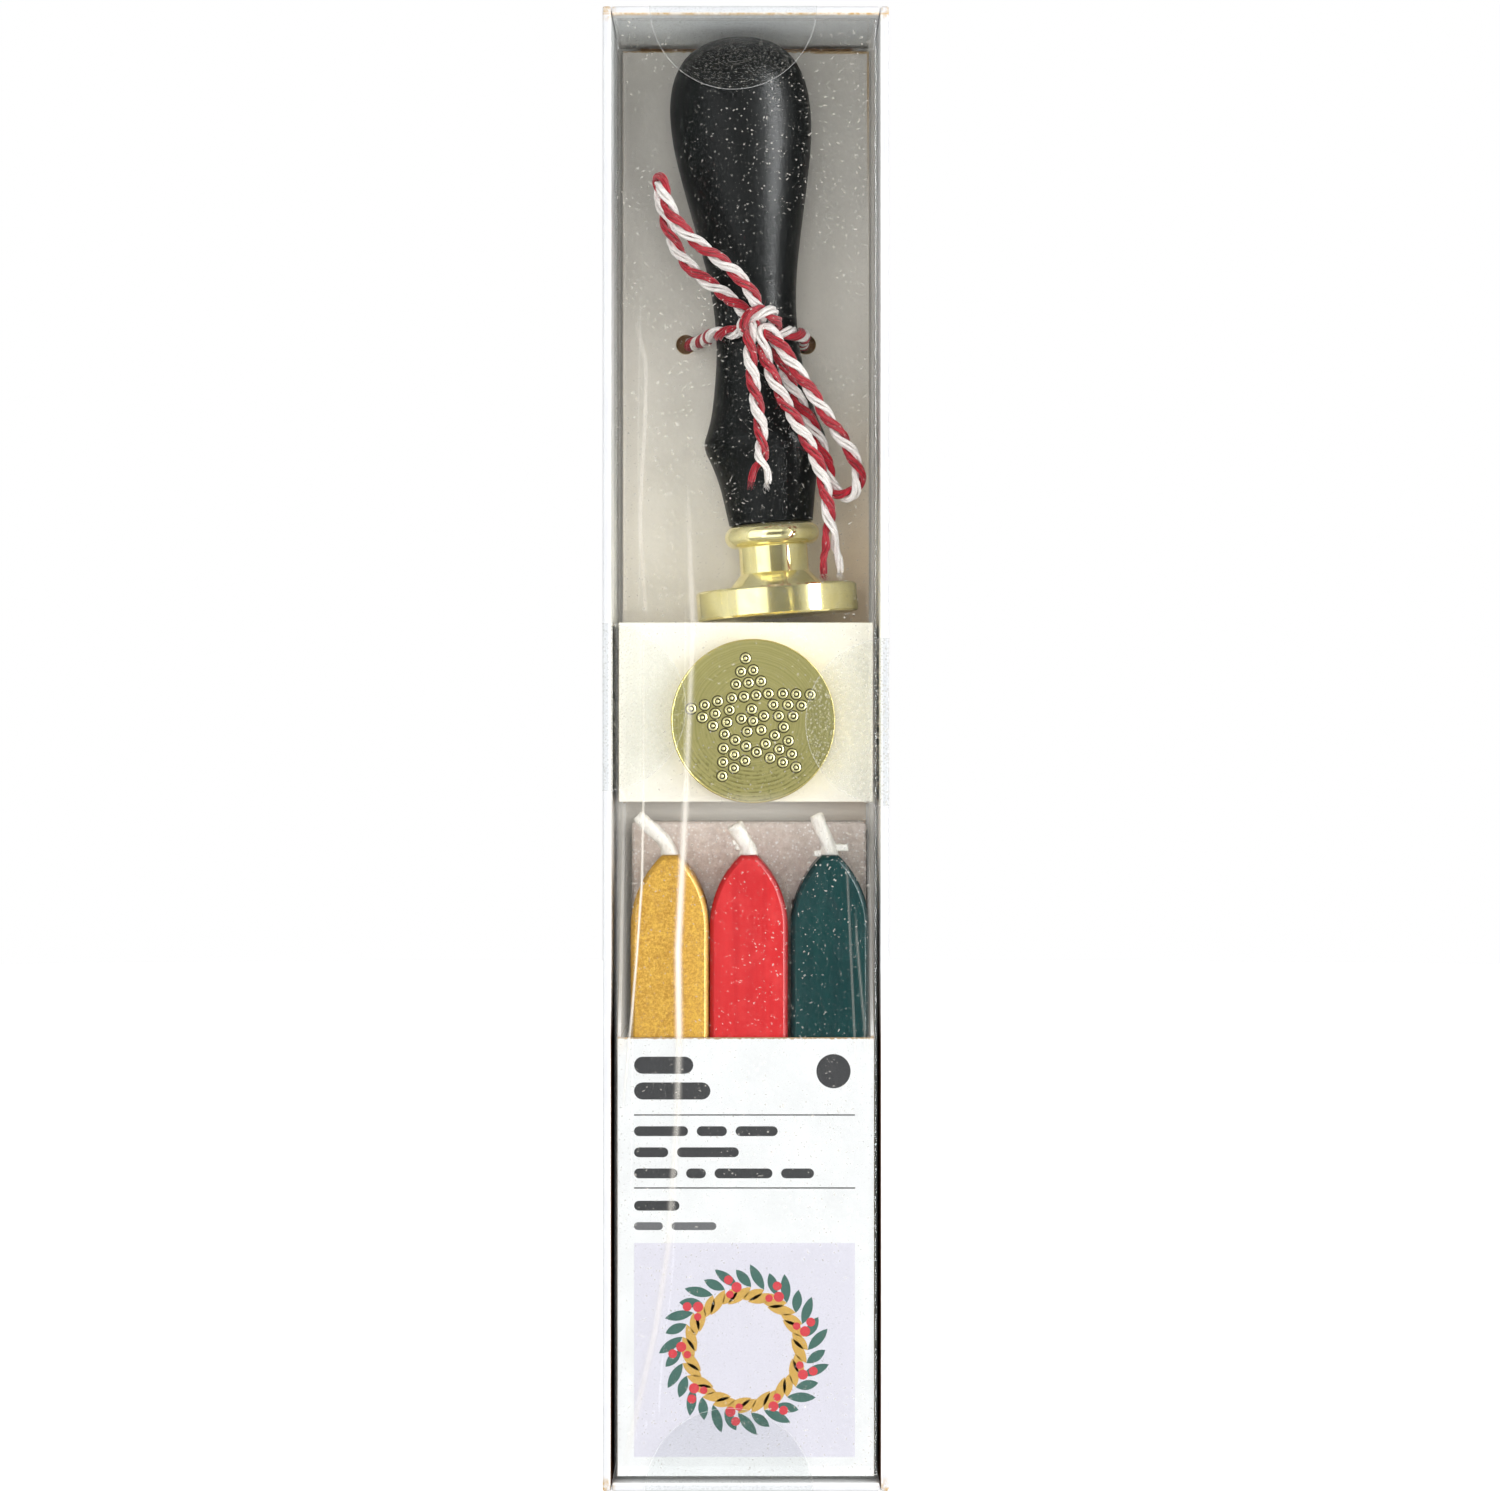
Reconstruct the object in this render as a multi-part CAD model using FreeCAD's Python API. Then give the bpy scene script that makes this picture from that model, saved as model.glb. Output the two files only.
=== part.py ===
import FreeCAD
import Part
import math
import os

# Wax seal set box: a white carton tray with a clear cover, closed by four round clear seals.
# Inside, a card insert carries a wax seal stamp tied on with twine, a spare stamp die and three
# wax sticks in front of a foam pad. Millimetres: X right, Y back, Z up. The origin lies under
# the middle of the box. "Depth" is the distance behind the front of the tray's rim.

# Sheet thicknesses
board = 0.5
tray_wall = 1.3
clear_sheet = 0.3
seal_film = 0.1

# Clearances
cover_gap = 0.5
insert_gap = 0.2
seat_gap = 0.1
stick_gap = 0.2
foam_gap = 0.3
platform_gap = 0.3
stamp_rest_gap = 0.3
tie_gap = 0.3
hub_gap = 0.2
stud_gap = 0.05
seal_gap = 0.2
overrun = 1.0

# Wax sticks and their wicks
stick_width = 11.9
stick_thickness = 11.9
stick_length = 93.5
arch_height = 11.0
apex_width = 2.4
stick_bevel = 0.9
stick_wall_gap = 0.15
red_green_gap = 0.5
gold_red_gap = 0.1
pocket_slack = 1.45
wick_diameter = 2.1
wick_rise = 6.6
wick_room = 1.5

# Pocket, platform and foam pad of the insert
label_height = 66.5
platform_height = 27.4
foam_drop = 3.1
foam_slack = 1.0

# Stamp dies
die_diameter = 25.0
die_thickness = 4.5
die_edge = 0.3
cone_diameter = 14.8
cone_height = 2.3
neck_diameter = 10.7
neck_height = 4.0
bead_diameter = 14.7
bead_height = 3.6
star_radius = 9.6
star_dot_diameter = 1.5
star_dot_core = 0.7
star_dot_depth = 0.3
star_row_step = 1.9
star_turn = 6.8
spare_side_shift = 1.1
spare_rise = 12.3
spare_front_gap = 1.7

# Stamp handle and its threaded stud
handle_length = 75.4
bulb_diameter = 21.8
waist_diameter = 12.7
bulge_diameter = 18.8
handle_end_diameter = 13.0
stud_diameter = 6.0
stud_in_handle = 9.0
stud_in_die = 8.5
stud_end_room = 0.5
stamp_tilt = 4.3
stamp_side_shift = 5.0
stamp_front_room = 2.4
stamp_headroom = 0.3

# Twine
twine_diameter = 2.0
twine_room = 2.8
tie_hole_diameter = 3.0
tie_hole_spacing = 19.0
tie_back_bend = 1.8
tie_open_angle = 15.0
knot_width = 5.2
knot_height = 4.2
knot_side = 2.1
knot_depth = 6.1
knot_rise = 1.3

# Round seals: where each one sits along its edge of the box
seal_diameter = 25.4
seal_top_shift = -1.9
seal_bottom_shift = -2.5
seal_left_share = 0.528
seal_right_share = 0.518

# Cut corners of the tray's folded rim
corner_cut = 1.5
corner_cut_depth = 4.0

# Sizes of the box, from its contents outwards
pocket_width = stick_wall_gap + 3 * stick_width + red_green_gap + gold_red_gap + pocket_slack
insert_width = pocket_width + 2 * board
cover_width = insert_width + 2 * (insert_gap + clear_sheet)
tray_width = cover_width + 2 * (cover_gap + tray_wall)

die_radius = die_diameter / 2
die_height = die_thickness + cone_height + neck_height + bead_height
stamp_depth = clear_sheet + stamp_front_room + die_radius
backing_depth = stamp_depth + die_radius + stamp_rest_gap
tray_depth = backing_depth + board + twine_room + board
base_depth = tray_depth - board

tilt = math.radians(stamp_tilt)
cover_floor = tray_wall + cover_gap
insert_floor = cover_floor + clear_sheet + insert_gap
stick_floor = insert_floor + board + seat_gap
stick_top = stick_floor + stick_length
platform_floor = stick_top + wick_rise + wick_room
platform_top = platform_floor + platform_height
stamp_floor = platform_top + stamp_rest_gap + die_radius * math.sin(tilt)
stamp_length = die_height + seat_gap + handle_length
stamp_top = stamp_floor + stamp_length * math.cos(tilt)
insert_top = stamp_top + stamp_headroom - insert_gap
cover_top = insert_top + insert_gap + clear_sheet
tray_height = cover_top + cover_gap + tray_wall

front = -(tray_depth - seal_film) / 2
pocket_half = pocket_width / 2
label_depth = clear_sheet + insert_gap
stick_depth = label_depth + board + stick_gap
foam_depth = stick_depth + stick_thickness + foam_gap
spare_depth = clear_sheet + spare_front_gap
platform_depth = spare_depth + die_thickness + seat_gap
green_x = pocket_half - stick_wall_gap - stick_width / 2
red_x = green_x - stick_width - red_green_gap
gold_x = red_x - stick_width - gold_red_gap


def at(x, depth, z):
    """A point of the box from its side shift, depth and height."""
    return FreeCAD.Vector(x, front + depth, z)


def block(x0, x1, depth0, depth1, z0, z1):
    """A box between two sides, two depths and two heights."""
    return Part.makeBox(x1 - x0, depth1 - depth0, z1 - z0, at(x0, depth0, z0))


def save(name, shape):
    """Writes one piece, and says how large it is."""
    if not shape.isValid() or len(shape.Solids) != 1:
        raise ValueError(name + " isn't one sound solid")
    shape.Solids[0].exportStep("parts/" + name + ".step")
    print(name, "volume", round(shape.Volume, 2))


def turned(outline):
    """A solid of revolution about Z from edges in the XZ plane that start and end on the axis."""
    closing = Part.makeLine(outline[-1].lastVertex(True).Point, outline[0].firstVertex(True).Point)
    face = Part.Face(Part.Wire(outline + [closing]))
    return face.revolve(FreeCAD.Vector(0, 0, 0), FreeCAD.Vector(0, 0, 1), 360)


def polyline(points):
    """Straight edges through a list of points."""
    return [Part.makeLine(a, b) for a, b in zip(points, points[1:])]


# Round seals

def seal_frame(edge):
    """The frame of a seal: across the edge's middle, inwards over the front, and back along the wall."""
    half = tray_width / 2
    places = {
        "top": (at(seal_top_shift, 0, tray_height), FreeCAD.Vector(0, 0, -1)),
        "bottom": (at(seal_bottom_shift, 0, 0), FreeCAD.Vector(0, 0, 1)),
        "left": (at(-half, 0, seal_left_share * tray_height), FreeCAD.Vector(1, 0, 0)),
        "right": (at(half, 0, seal_right_share * tray_height), FreeCAD.Vector(-1, 0, 0)),
    }
    place, inward = places[edge]
    back = FreeCAD.Vector(0, 1, 0)
    along = inward.cross(back)
    return FreeCAD.Matrix(
        along.x, inward.x, back.x, place.x,
        along.y, inward.y, back.y, place.y,
        along.z, inward.z, back.z, place.z,
        0, 0, 0, 1,
    )


def half_disc(radius, thickness, axis, start, keep_low):
    """Half a disc in a seal's frame, kept on the positive side of the other direction."""
    disc = Part.makeCylinder(radius, thickness, axis * start, axis)
    low = FreeCAD.Vector(-radius, keep_low[0], keep_low[1])
    return disc.common(Part.makeBox(2 * radius, 2 * radius, 2 * radius, low))


def wall_half(radius):
    """The half of a seal that lies along the tray's wall."""
    inward = FreeCAD.Vector(0, 1, 0)
    return half_disc(radius, seal_film, inward, 0, (0, 0))


def seal(edge):
    radius = seal_diameter / 2
    over_front = half_disc(radius, seal_film, FreeCAD.Vector(0, 0, 1), -seal_film, (0, -seal_film))
    shape = over_front.fuse(wall_half(radius)).removeSplitter()
    return placed(shape, seal_frame(edge))


def placed(shape, matrix):
    """A copy of a shape, moved by a rigid matrix."""
    moved = shape.copy()
    moved.Placement = FreeCAD.Placement(matrix)
    return moved


# Tray and cover

def tray():
    half = tray_width / 2
    shape = block(-half, half, 0, tray_depth, 0, tray_height)
    inner = half - tray_wall
    shape = shape.cut(block(-inner, inner, -overrun, base_depth, tray_wall, tray_height - tray_wall))
    for side in (-1, 1):
        for z, up in ((0, 1), (tray_height, -1)):
            corner = at(side * half, 0, z)
            legs = [corner, corner - FreeCAD.Vector(side * corner_cut, 0, 0),
                    corner + FreeCAD.Vector(0, 0, up * corner_cut), corner]
            wedge = Part.Face(Part.makePolygon(legs)).extrude(FreeCAD.Vector(0, corner_cut_depth, 0))
            shape = shape.cut(wedge)
    for edge in ("top", "bottom", "left", "right"):
        shape = shape.cut(placed(wall_half(seal_diameter / 2 + seal_gap), seal_frame(edge)))
    return shape


def cover_panels():
    """The clear cover's folded panels: a window, two sides and two ends that meet along the folds."""
    half = cover_width / 2
    inner = half - clear_sheet
    skirt = base_depth - seat_gap
    low = cover_floor + clear_sheet
    high = cover_top - clear_sheet
    return {
        "cover_window": block(-half, half, 0, clear_sheet, cover_floor, cover_top),
        "cover_side_left": block(-half, -inner, clear_sheet, skirt, cover_floor, cover_top),
        "cover_side_right": block(inner, half, clear_sheet, skirt, cover_floor, cover_top),
        "cover_end_bottom": block(-inner, inner, clear_sheet, skirt, cover_floor, low),
        "cover_end_top": block(-inner, inner, clear_sheet, skirt, high, cover_top),
    }


# Card insert and foam pad

def backing():
    half = insert_width / 2
    shape = block(-half, half, backing_depth, backing_depth + board, insert_floor, insert_top)
    for side in (-1, 1):
        x0, x1 = sorted((side * half, side * (half - board)))
        shape = shape.fuse(block(x0, x1, backing_depth, base_depth, insert_floor, insert_top))
        hole = Part.makeCylinder(
            tie_hole_diameter / 2,
            board + 2 * overrun,
            at(side * tie_hole_spacing / 2, backing_depth - overrun, tie_height()),
            FreeCAD.Vector(0, 1, 0),
        )
        shape = shape.cut(hole)
    return shape.removeSplitter()


def platform():
    half = insert_width / 2
    back = backing_depth - seat_gap
    shape = block(-half, half, platform_depth, back, platform_floor, platform_top)
    low = platform_floor + board
    high = platform_top - board
    shape = shape.cut(block(-half - overrun, half + overrun, platform_depth + board, back + overrun, low, high))
    hub_radius = max(cone_diameter, bead_diameter) / 2 + hub_gap
    hole = Part.makeCylinder(
        hub_radius,
        board + 2 * overrun,
        at(spare_side_shift, platform_depth - overrun, platform_floor + spare_rise),
        FreeCAD.Vector(0, 1, 0),
    )
    return shape.cut(hole)


def pocket():
    """A label panel in front, a floor, and two side flaps whose upper edge slopes back."""
    half = insert_width / 2
    back = backing_depth - seat_gap
    side_top = platform_floor - platform_gap
    label_top = insert_floor + label_height
    shape = block(-half, half, label_depth, back, insert_floor, insert_floor + board)
    shape = shape.fuse(block(-half, half, label_depth, label_depth + board, insert_floor, label_top))
    flap = [(label_depth, insert_floor), (back, insert_floor), (back, side_top), (label_depth, label_top)]
    for x in (-half, pocket_half):
        outline = [at(x, depth, z) for depth, z in flap]
        face = Part.Face(Part.makePolygon(outline + outline[:1]))
        shape = shape.fuse(face.extrude(FreeCAD.Vector(board, 0, 0)))
    return shape.removeSplitter()


def foam():
    right = pocket_half - insert_gap
    left = insert_gap + foam_slack - pocket_half
    return block(left, right, foam_depth, backing_depth - foam_gap, stick_floor, platform_floor - foam_drop)


# Wax sticks

def stick(middle):
    """A square stick with a pointed arch at the top and a bevel round its front face."""
    half = stick_width / 2
    tip = apex_width / 2
    run = half - tip
    radius = (run ** 2 + arch_height ** 2) / (2 * run)
    shoulder = stick_top - arch_height
    rise = math.atan2(arch_height, radius - run) / 2

    def arch(side):
        """From the shoulder to the apex on one side, through a point halfway along the arc."""
        mid_x = half - radius + radius * math.cos(rise)
        mid_z = shoulder + radius * math.sin(rise)
        return (
            at(middle + side * half, stick_depth, shoulder),
            at(middle + side * mid_x, stick_depth, mid_z),
            at(middle + side * tip, stick_depth, stick_top),
        )

    left, right = arch(-1), arch(1)
    foot_left = at(middle - half, stick_depth, stick_floor)
    foot_right = at(middle + half, stick_depth, stick_floor)
    edges = [
        Part.makeLine(foot_left, left[0]),
        Part.Arc(*left).toShape(),
        Part.makeLine(left[2], right[2]),
        Part.Arc(*reversed(right)).toShape(),
        Part.makeLine(right[0], foot_right),
        Part.makeLine(foot_right, foot_left),
    ]
    shape = Part.Face(Part.Wire(edges)).extrude(FreeCAD.Vector(0, stick_thickness, 0))
    face_y = front + stick_depth
    rim = [e for e in shape.Edges if on_front(e, face_y) and e.BoundBox.ZMax > stick_floor + seat_gap]
    return shape.makeChamfer(stick_bevel, rim)


def on_front(edge, face_y):
    """Whether an edge lies in the plane of a front face."""
    return abs(edge.BoundBox.YMin - face_y) < seat_gap and abs(edge.BoundBox.YMax - face_y) < seat_gap


# Tubes along straight runs joined by tangent arcs

def run_and_bend(name, points, show_radii):
    """The edges of a route: each arc takes 0.45 of the shorter run beside its point."""
    reach_share = 0.45
    edges, radii = [], []
    start = points[0]
    for before, here, after in zip(points, points[1:], points[2:]):
        into, out = here - before, after - here
        turn = into.getAngle(out)
        reach = reach_share * min(into.Length, out.Length)
        radii.append(reach / math.tan(turn / 2))
        into.normalize()
        out.normalize()
        first, last = here - into * reach, here + out * reach
        inward = (out - into).normalize()
        middle = here + inward * (radii[-1] / math.cos(turn / 2) - radii[-1])
        edges.append(Part.makeLine(start, first))
        edges.append(Part.Arc(first, middle, last).toShape())
        start = last
    edges.append(Part.makeLine(start, points[-1]))
    if show_radii:
        print(name, "radii", [round(r, 1) for r in radii])
    return edges


def tube(name, edges, diameter):
    """A round tube along a path, compared with its section times its length."""
    path = Part.Wire(edges)
    start = edges[0].firstVertex(True).Point
    heading = edges[0].tangentAt(edges[0].FirstParameter)
    ring = Part.Wire(Part.makeCircle(diameter / 2, start, heading))
    solid = path.makePipeShell([ring], True, False)
    expected = math.pi * diameter ** 2 / 4 * path.Length
    print(name, "length", round(path.Length, 1), "volume share", round(solid.Volume / expected, 4))
    return solid


# Each wick's points, across and up from the stick's apex, as shares of the wick's rise
gold_wick_shares = [(0, 0), (0, 0.2), (-0.28, 0.55), (-0.62, 0.82)]
red_wick_shares = [(0, 0), (0, 0.14), (-0.23, 0.5), (-0.36, 0.76)]
green_wick_shares = [(0, 0), (0, 0.14), (-0.22, 0.55), (-0.37, 0.9)]


def wick(name, middle, shares):
    depth = stick_depth + stick_thickness / 2
    points = [at(middle + wick_rise * x, depth, stick_top + wick_rise * z) for x, z in shares]
    return tube(name, run_and_bend(name, points, False), wick_diameter)


# Stamp: the die's face is at the origin and the stamp rises along Z, until it is stood in place

def die():
    """A turned brass die: disc, cone, neck and bead, with a threaded bore from the top."""
    p = FreeCAD.Vector
    cone_z = die_thickness + cone_height
    neck_z = cone_z + neck_height
    bead = bead_height / 2
    bead_in = bead_diameter / 2 - bead
    low = polyline([
        p(0, 0, 0),
        p(die_radius - die_edge, 0, 0),
        p(die_radius, 0, die_edge),
        p(die_radius, 0, die_thickness - die_edge),
        p(die_radius - die_edge, 0, die_thickness),
        p(cone_diameter / 2, 0, die_thickness),
        p(neck_diameter / 2, 0, cone_z),
        p(neck_diameter / 2, 0, neck_z),
        p(bead_in, 0, neck_z),
    ])
    round_edge = Part.Arc(
        p(bead_in, 0, neck_z), p(bead_in + bead, 0, neck_z + bead), p(bead_in, 0, die_height)
    ).toShape()
    top = polyline([p(bead_in, 0, die_height), p(0, 0, die_height)])
    shape = turned(low + [round_edge] + top)
    bore_length = stud_in_die + stud_end_room
    bore = Part.makeCylinder(stud_diameter / 2 + stud_gap, bore_length, p(0, 0, die_height - bore_length))
    return shape.cut(bore)


# Rows of the star from its tip inwards: distance from the middle, and the dots' shifts across the arm
star_row_shares = [(1.0, [0]), (0.8, [-0.5, 0.5]), (0.61, [-1, 0, 1]), (0.4, [-0.5, 0.5]), (0.19, [0])]
# Where the dot in each inner corner of the star lies between the middle and the tips
star_corner_share = 0.495


def star_places():
    """Where the star's dots lie: one in the middle, those of its five arms, and one between each two arms."""
    places = [FreeCAD.Vector()]
    for arm in range(5):
        angle = math.radians(72 * arm - 90 - star_turn)
        along = FreeCAD.Vector(math.cos(angle), math.sin(angle), 0)
        aside = FreeCAD.Vector(-math.sin(angle), math.cos(angle), 0)
        for out_share, shifts in star_row_shares:
            for shift in shifts:
                places.append(along * (out_share * star_radius) + aside * (shift * star_row_step))
        between = angle + math.radians(36)
        corner = FreeCAD.Vector(math.cos(between), math.sin(between), 0)
        places.append(corner * (star_corner_share * star_radius))
    return places


def star_dots():
    """Ringed dots that make up a star with five arms, cut into a die's face."""
    rings = []
    for place in star_places():
        ring = Part.makeCylinder(star_dot_diameter / 2, star_dot_depth, place)
        rings.append(ring.cut(Part.makeCylinder(star_dot_core / 2, star_dot_depth, place)))
    return Part.makeCompound(rings)


def spare():
    """The spare die, face forward in the platform's hole."""
    shape = die().cut(star_dots())
    place = at(spare_side_shift, spare_depth, platform_floor + spare_rise)
    shape.Placement = FreeCAD.Placement(place, FreeCAD.Rotation(FreeCAD.Vector(1, 0, 0), -90))
    return shape


# The handle's swelling between its main diameters: place along it, and blend of the two diameters
to_waist_shares = [(0.28, 0.79), (0.41, 0.36), (0.52, 0.06)]
to_bulge_shares = [(0.666, 0.09), (0.709, 0.24), (0.752, 0.43), (0.779, 0.585), (0.797, 0.73), (0.814, 0.89)]
to_end_shares = [(0.852, 0.9), (0.865, 0.766), (0.882, 0.607), (0.904, 0.438), (0.93, 0.285), (0.965, 0.14)]
bulb_share = 0.165
waist_share = 0.615
bulge_share = 0.833
shoulder_share = 0.62
end_slope = 0.15


def handle():
    """A turned wooden handle: rounded bulb, waist, bulge and a tapered end on the die's bead."""
    low = die_height + seat_gap
    high = low + handle_length

    def point(share, diameter):
        return FreeCAD.Vector(diameter / 2, 0, high - share * handle_length)

    def between(shares, first, last):
        return [point(s, last + (first - last) * blend) for s, blend in shares]

    bulb = point(bulb_share, bulb_diameter)
    bulge = point(bulge_share, bulge_diameter)
    end = point(1, handle_end_diameter)
    upper = [bulb]
    upper += between(to_waist_shares, bulb_diameter, waist_diameter)
    upper += [point(waist_share, waist_diameter)]
    upper += between(to_bulge_shares, bulge_diameter, waist_diameter)
    upper += [bulge]
    lower = [bulge] + between(to_end_shares, bulge_diameter, handle_end_diameter) + [end]
    crown = FreeCAD.Vector(0, 0, high)
    quarter = FreeCAD.Vector(shoulder_share * bulb.x, 0, high - (high - bulb.z) * (1 - shoulder_share) ** 2)
    curves = []
    for points, tangents in (
        ([crown, quarter, bulb], [FreeCAD.Vector(1, 0, 0), FreeCAD.Vector(0, 0, -1)]),
        (upper, [FreeCAD.Vector(0, 0, -1), FreeCAD.Vector(0, 0, -1)]),
        (lower, [FreeCAD.Vector(0, 0, -1), FreeCAD.Vector(-end_slope, 0, -1)]),
    ):
        curve = Part.BSplineCurve()
        curve.interpolate(Points=points, InitialTangent=tangents[0], FinalTangent=tangents[1])
        curves.append(curve.toShape())
    foot = polyline([end, FreeCAD.Vector(0, 0, low)])
    shape = turned(curves + foot)
    socket = stud_in_handle + stud_end_room
    return shape.cut(Part.makeCylinder(stud_diameter / 2 + stud_gap, socket, FreeCAD.Vector(0, 0, low)))


def stud():
    """The threaded rod that joins the handle and the die."""
    low = die_height - stud_in_die
    length = stud_in_die + seat_gap + stud_in_handle
    return Part.makeCylinder(stud_diameter / 2, length, FreeCAD.Vector(0, 0, low))


def stood(shape):
    """A piece of the stamp, leaning in its place above the platform."""
    shape = shape.copy()
    place = at(stamp_side_shift, stamp_depth, stamp_floor)
    shape.Placement = FreeCAD.Placement(place, FreeCAD.Rotation(FreeCAD.Vector(0, 1, 0), -stamp_tilt))
    return shape


# Twine: a tie round the handle's waist and through the card, with a knot, two bows and two tails

def waist_rise():
    """How far along the stamp its waist lies."""
    return stamp_length - waist_share * handle_length


def tie_height():
    return stamp_floor + waist_rise() * math.cos(tilt)


def tie_edges():
    """From the knot round one side of the waist, behind the card, and round the other side."""
    middle_x = stamp_side_shift - waist_rise() * math.sin(tilt)
    wrap = waist_diameter / 2 + tie_gap + twine_diameter / 2
    run_depth = backing_depth + board + twine_room / 2
    z = tie_height()

    def on_wrap(angle):
        return at(middle_x + wrap * math.cos(angle), stamp_depth + wrap * math.sin(angle), z)

    def side(sign):
        hole = at(sign * tie_hole_spacing / 2, backing_depth + board / 2, z)
        away = hole - at(middle_x, stamp_depth, z)
        leave = math.atan2(away.y, away.x) - sign * math.acos(wrap / away.Length)
        knot_end = math.radians(-90 + sign * tie_open_angle)
        leave = knot_end + sign * ((leave - knot_end) * sign % (2 * math.pi))
        middle = (knot_end + leave) / 2
        tangent = on_wrap(leave)
        slope = (hole - tangent).normalize()
        corner = tangent + slope * ((front + run_depth - tangent.y) / slope.y)
        turn = slope.getAngle(FreeCAD.Vector(-sign, 0, 0))
        reach = tie_back_bend * math.tan(turn / 2)
        first = corner - slope * reach
        last = corner + FreeCAD.Vector(-sign * reach, 0, 0)
        bow_in = (FreeCAD.Vector(-sign, 0, 0) - slope).normalize()
        bend = corner + bow_in * (tie_back_bend / math.cos(turn / 2) - tie_back_bend)
        wrap_arc = (on_wrap(knot_end), on_wrap(middle), tangent)
        return wrap_arc, (first, bend, last)

    left_wrap, left_bend = side(-1)
    right_wrap, right_bend = side(1)
    return [
        Part.Arc(*left_wrap).toShape(),
        Part.makeLine(left_wrap[2], left_bend[0]),
        Part.Arc(*left_bend).toShape(),
        Part.makeLine(left_bend[2], right_bend[2]),
        Part.Arc(*reversed(right_bend)).toShape(),
        Part.makeLine(right_bend[0], right_wrap[2]),
        Part.Arc(*reversed(right_wrap)).toShape(),
    ]


def knot():
    """The lump of the knot, as an egg lying across the handle."""
    middle = at(knot_side, knot_depth, tie_height() + knot_rise)
    half = FreeCAD.Vector(knot_width / 2, 0, 0)
    ellipse = Part.Ellipse(middle + half, middle + FreeCAD.Vector(0, 0, knot_height / 2), middle)
    upper = Part.ArcOfEllipse(ellipse, 0, math.pi).toShape()
    face = Part.Face(Part.Wire([upper, Part.makeLine(middle - half, middle + half)]))
    return face.revolve(middle, FreeCAD.Vector(1, 0, 0), 360)


# Routes of the free twine: side shift, depth and height, from the knot and back to it
bow_upper_route = [
    (0.9, 6.6, 178.6), (-3.0, 7.2, 182.2), (-7.2, 7.6, 185.0), (-10.2, 7.8, 188.3),
    (-11.8, 7.9, 192.0), (-12.8, 7.9, 195.6), (-13.2, 7.9, 198.6), (-13.2, 5.5, 200.0),
    (-12.8, 3.1, 198.6), (-12.0, 3.0, 195.6), (-10.4, 3.1, 192.5), (-7.9, 3.3, 190.0),
    (-4.7, 3.5, 187.7), (-1.5, 3.7, 185.1), (1.1, 4.0, 182.1), (2.4, 4.9, 178.6),
]
bow_lower_route = [
    (3.4, 4.9, 177.0), (5.9, 4.0, 173.2), (8.6, 3.9, 169.2), (11.2, 4.1, 165.2),
    (13.7, 4.2, 161.4), (15.9, 4.3, 158.2), (17.4, 4.6, 155.0), (17.2, 5.2, 152.2),
    (15.0, 6.2, 150.9), (13.0, 7.0, 152.6), (12.5, 7.3, 155.7), (11.7, 7.4, 158.9),
    (10.2, 7.4, 162.2), (8.3, 7.3, 165.6), (6.5, 7.1, 169.2), (5.1, 6.9, 173.0),
    (4.0, 6.3, 176.9),
]
tail_long_route = [
    (2.2, 4.9, 176.6), (3.1, 4.6, 171.6), (5.0, 4.3, 167.2), (7.4, 4.1, 163.0),
    (9.8, 4.1, 158.8), (11.6, 4.3, 154.8), (12.4, 4.5, 150.6), (12.9, 4.9, 146.6),
    (12.9, 5.4, 142.8), (13.2, 5.9, 139.4),
]
tail_short_route = [
    (0.6, 4.9, 176.9), (0.6, 4.3, 172.6), (1.1, 4.0, 168.6), (1.8, 3.9, 164.6),
    (2.4, 3.9, 160.8), (2.5, 4.2, 156.9), (2.1, 4.6, 153.2),
]


def strand(name, route):
    return tube(name, run_and_bend(name, [at(*p) for p in route], True), twine_diameter)


os.makedirs("parts", exist_ok=True)

save("outer_tray", tray())
for name, panel in cover_panels().items():
    save(name, panel)
for edge in ("top", "bottom", "left", "right"):
    save("seal_" + edge, seal(edge))

save("backing_card", backing())
save("die_platform", platform())
save("stick_pocket", pocket())
save("foam_pad", foam())

for colour, middle, shares in (
    ("gold", gold_x, gold_wick_shares),
    ("red", red_x, red_wick_shares),
    ("green", green_x, green_wick_shares),
):
    save("wax_stick_" + colour, stick(middle))
    save("wick_" + colour, wick("wick_" + colour, middle, shares))

save("stamp_handle", stood(handle()))
save("handle_stud", stood(stud()))
save("stamp_die", stood(die()))
save("spare_die", spare())

save("twine_tie", tube("twine_tie", tie_edges(), twine_diameter))
save("twine_knot", knot())
save("twine_bow_upper", strand("twine_bow_upper", bow_upper_route))
save("twine_bow_lower", strand("twine_bow_lower", bow_lower_route))
save("twine_tail_long", strand("twine_tail_long", tail_long_route))
save("twine_tail_short", strand("twine_tail_short", tail_short_route))

print("tray", round(tray_width, 2), round(tray_depth, 2), round(tray_height, 2))
print("stamp axis foot", stamp_side_shift, round(front + stamp_depth, 3), round(stamp_floor, 3))
print("spare axis", spare_side_shift, round(platform_floor + spare_rise, 3))
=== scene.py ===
import math
import random

import bmesh
import bpy
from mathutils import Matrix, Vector, noise


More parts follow.
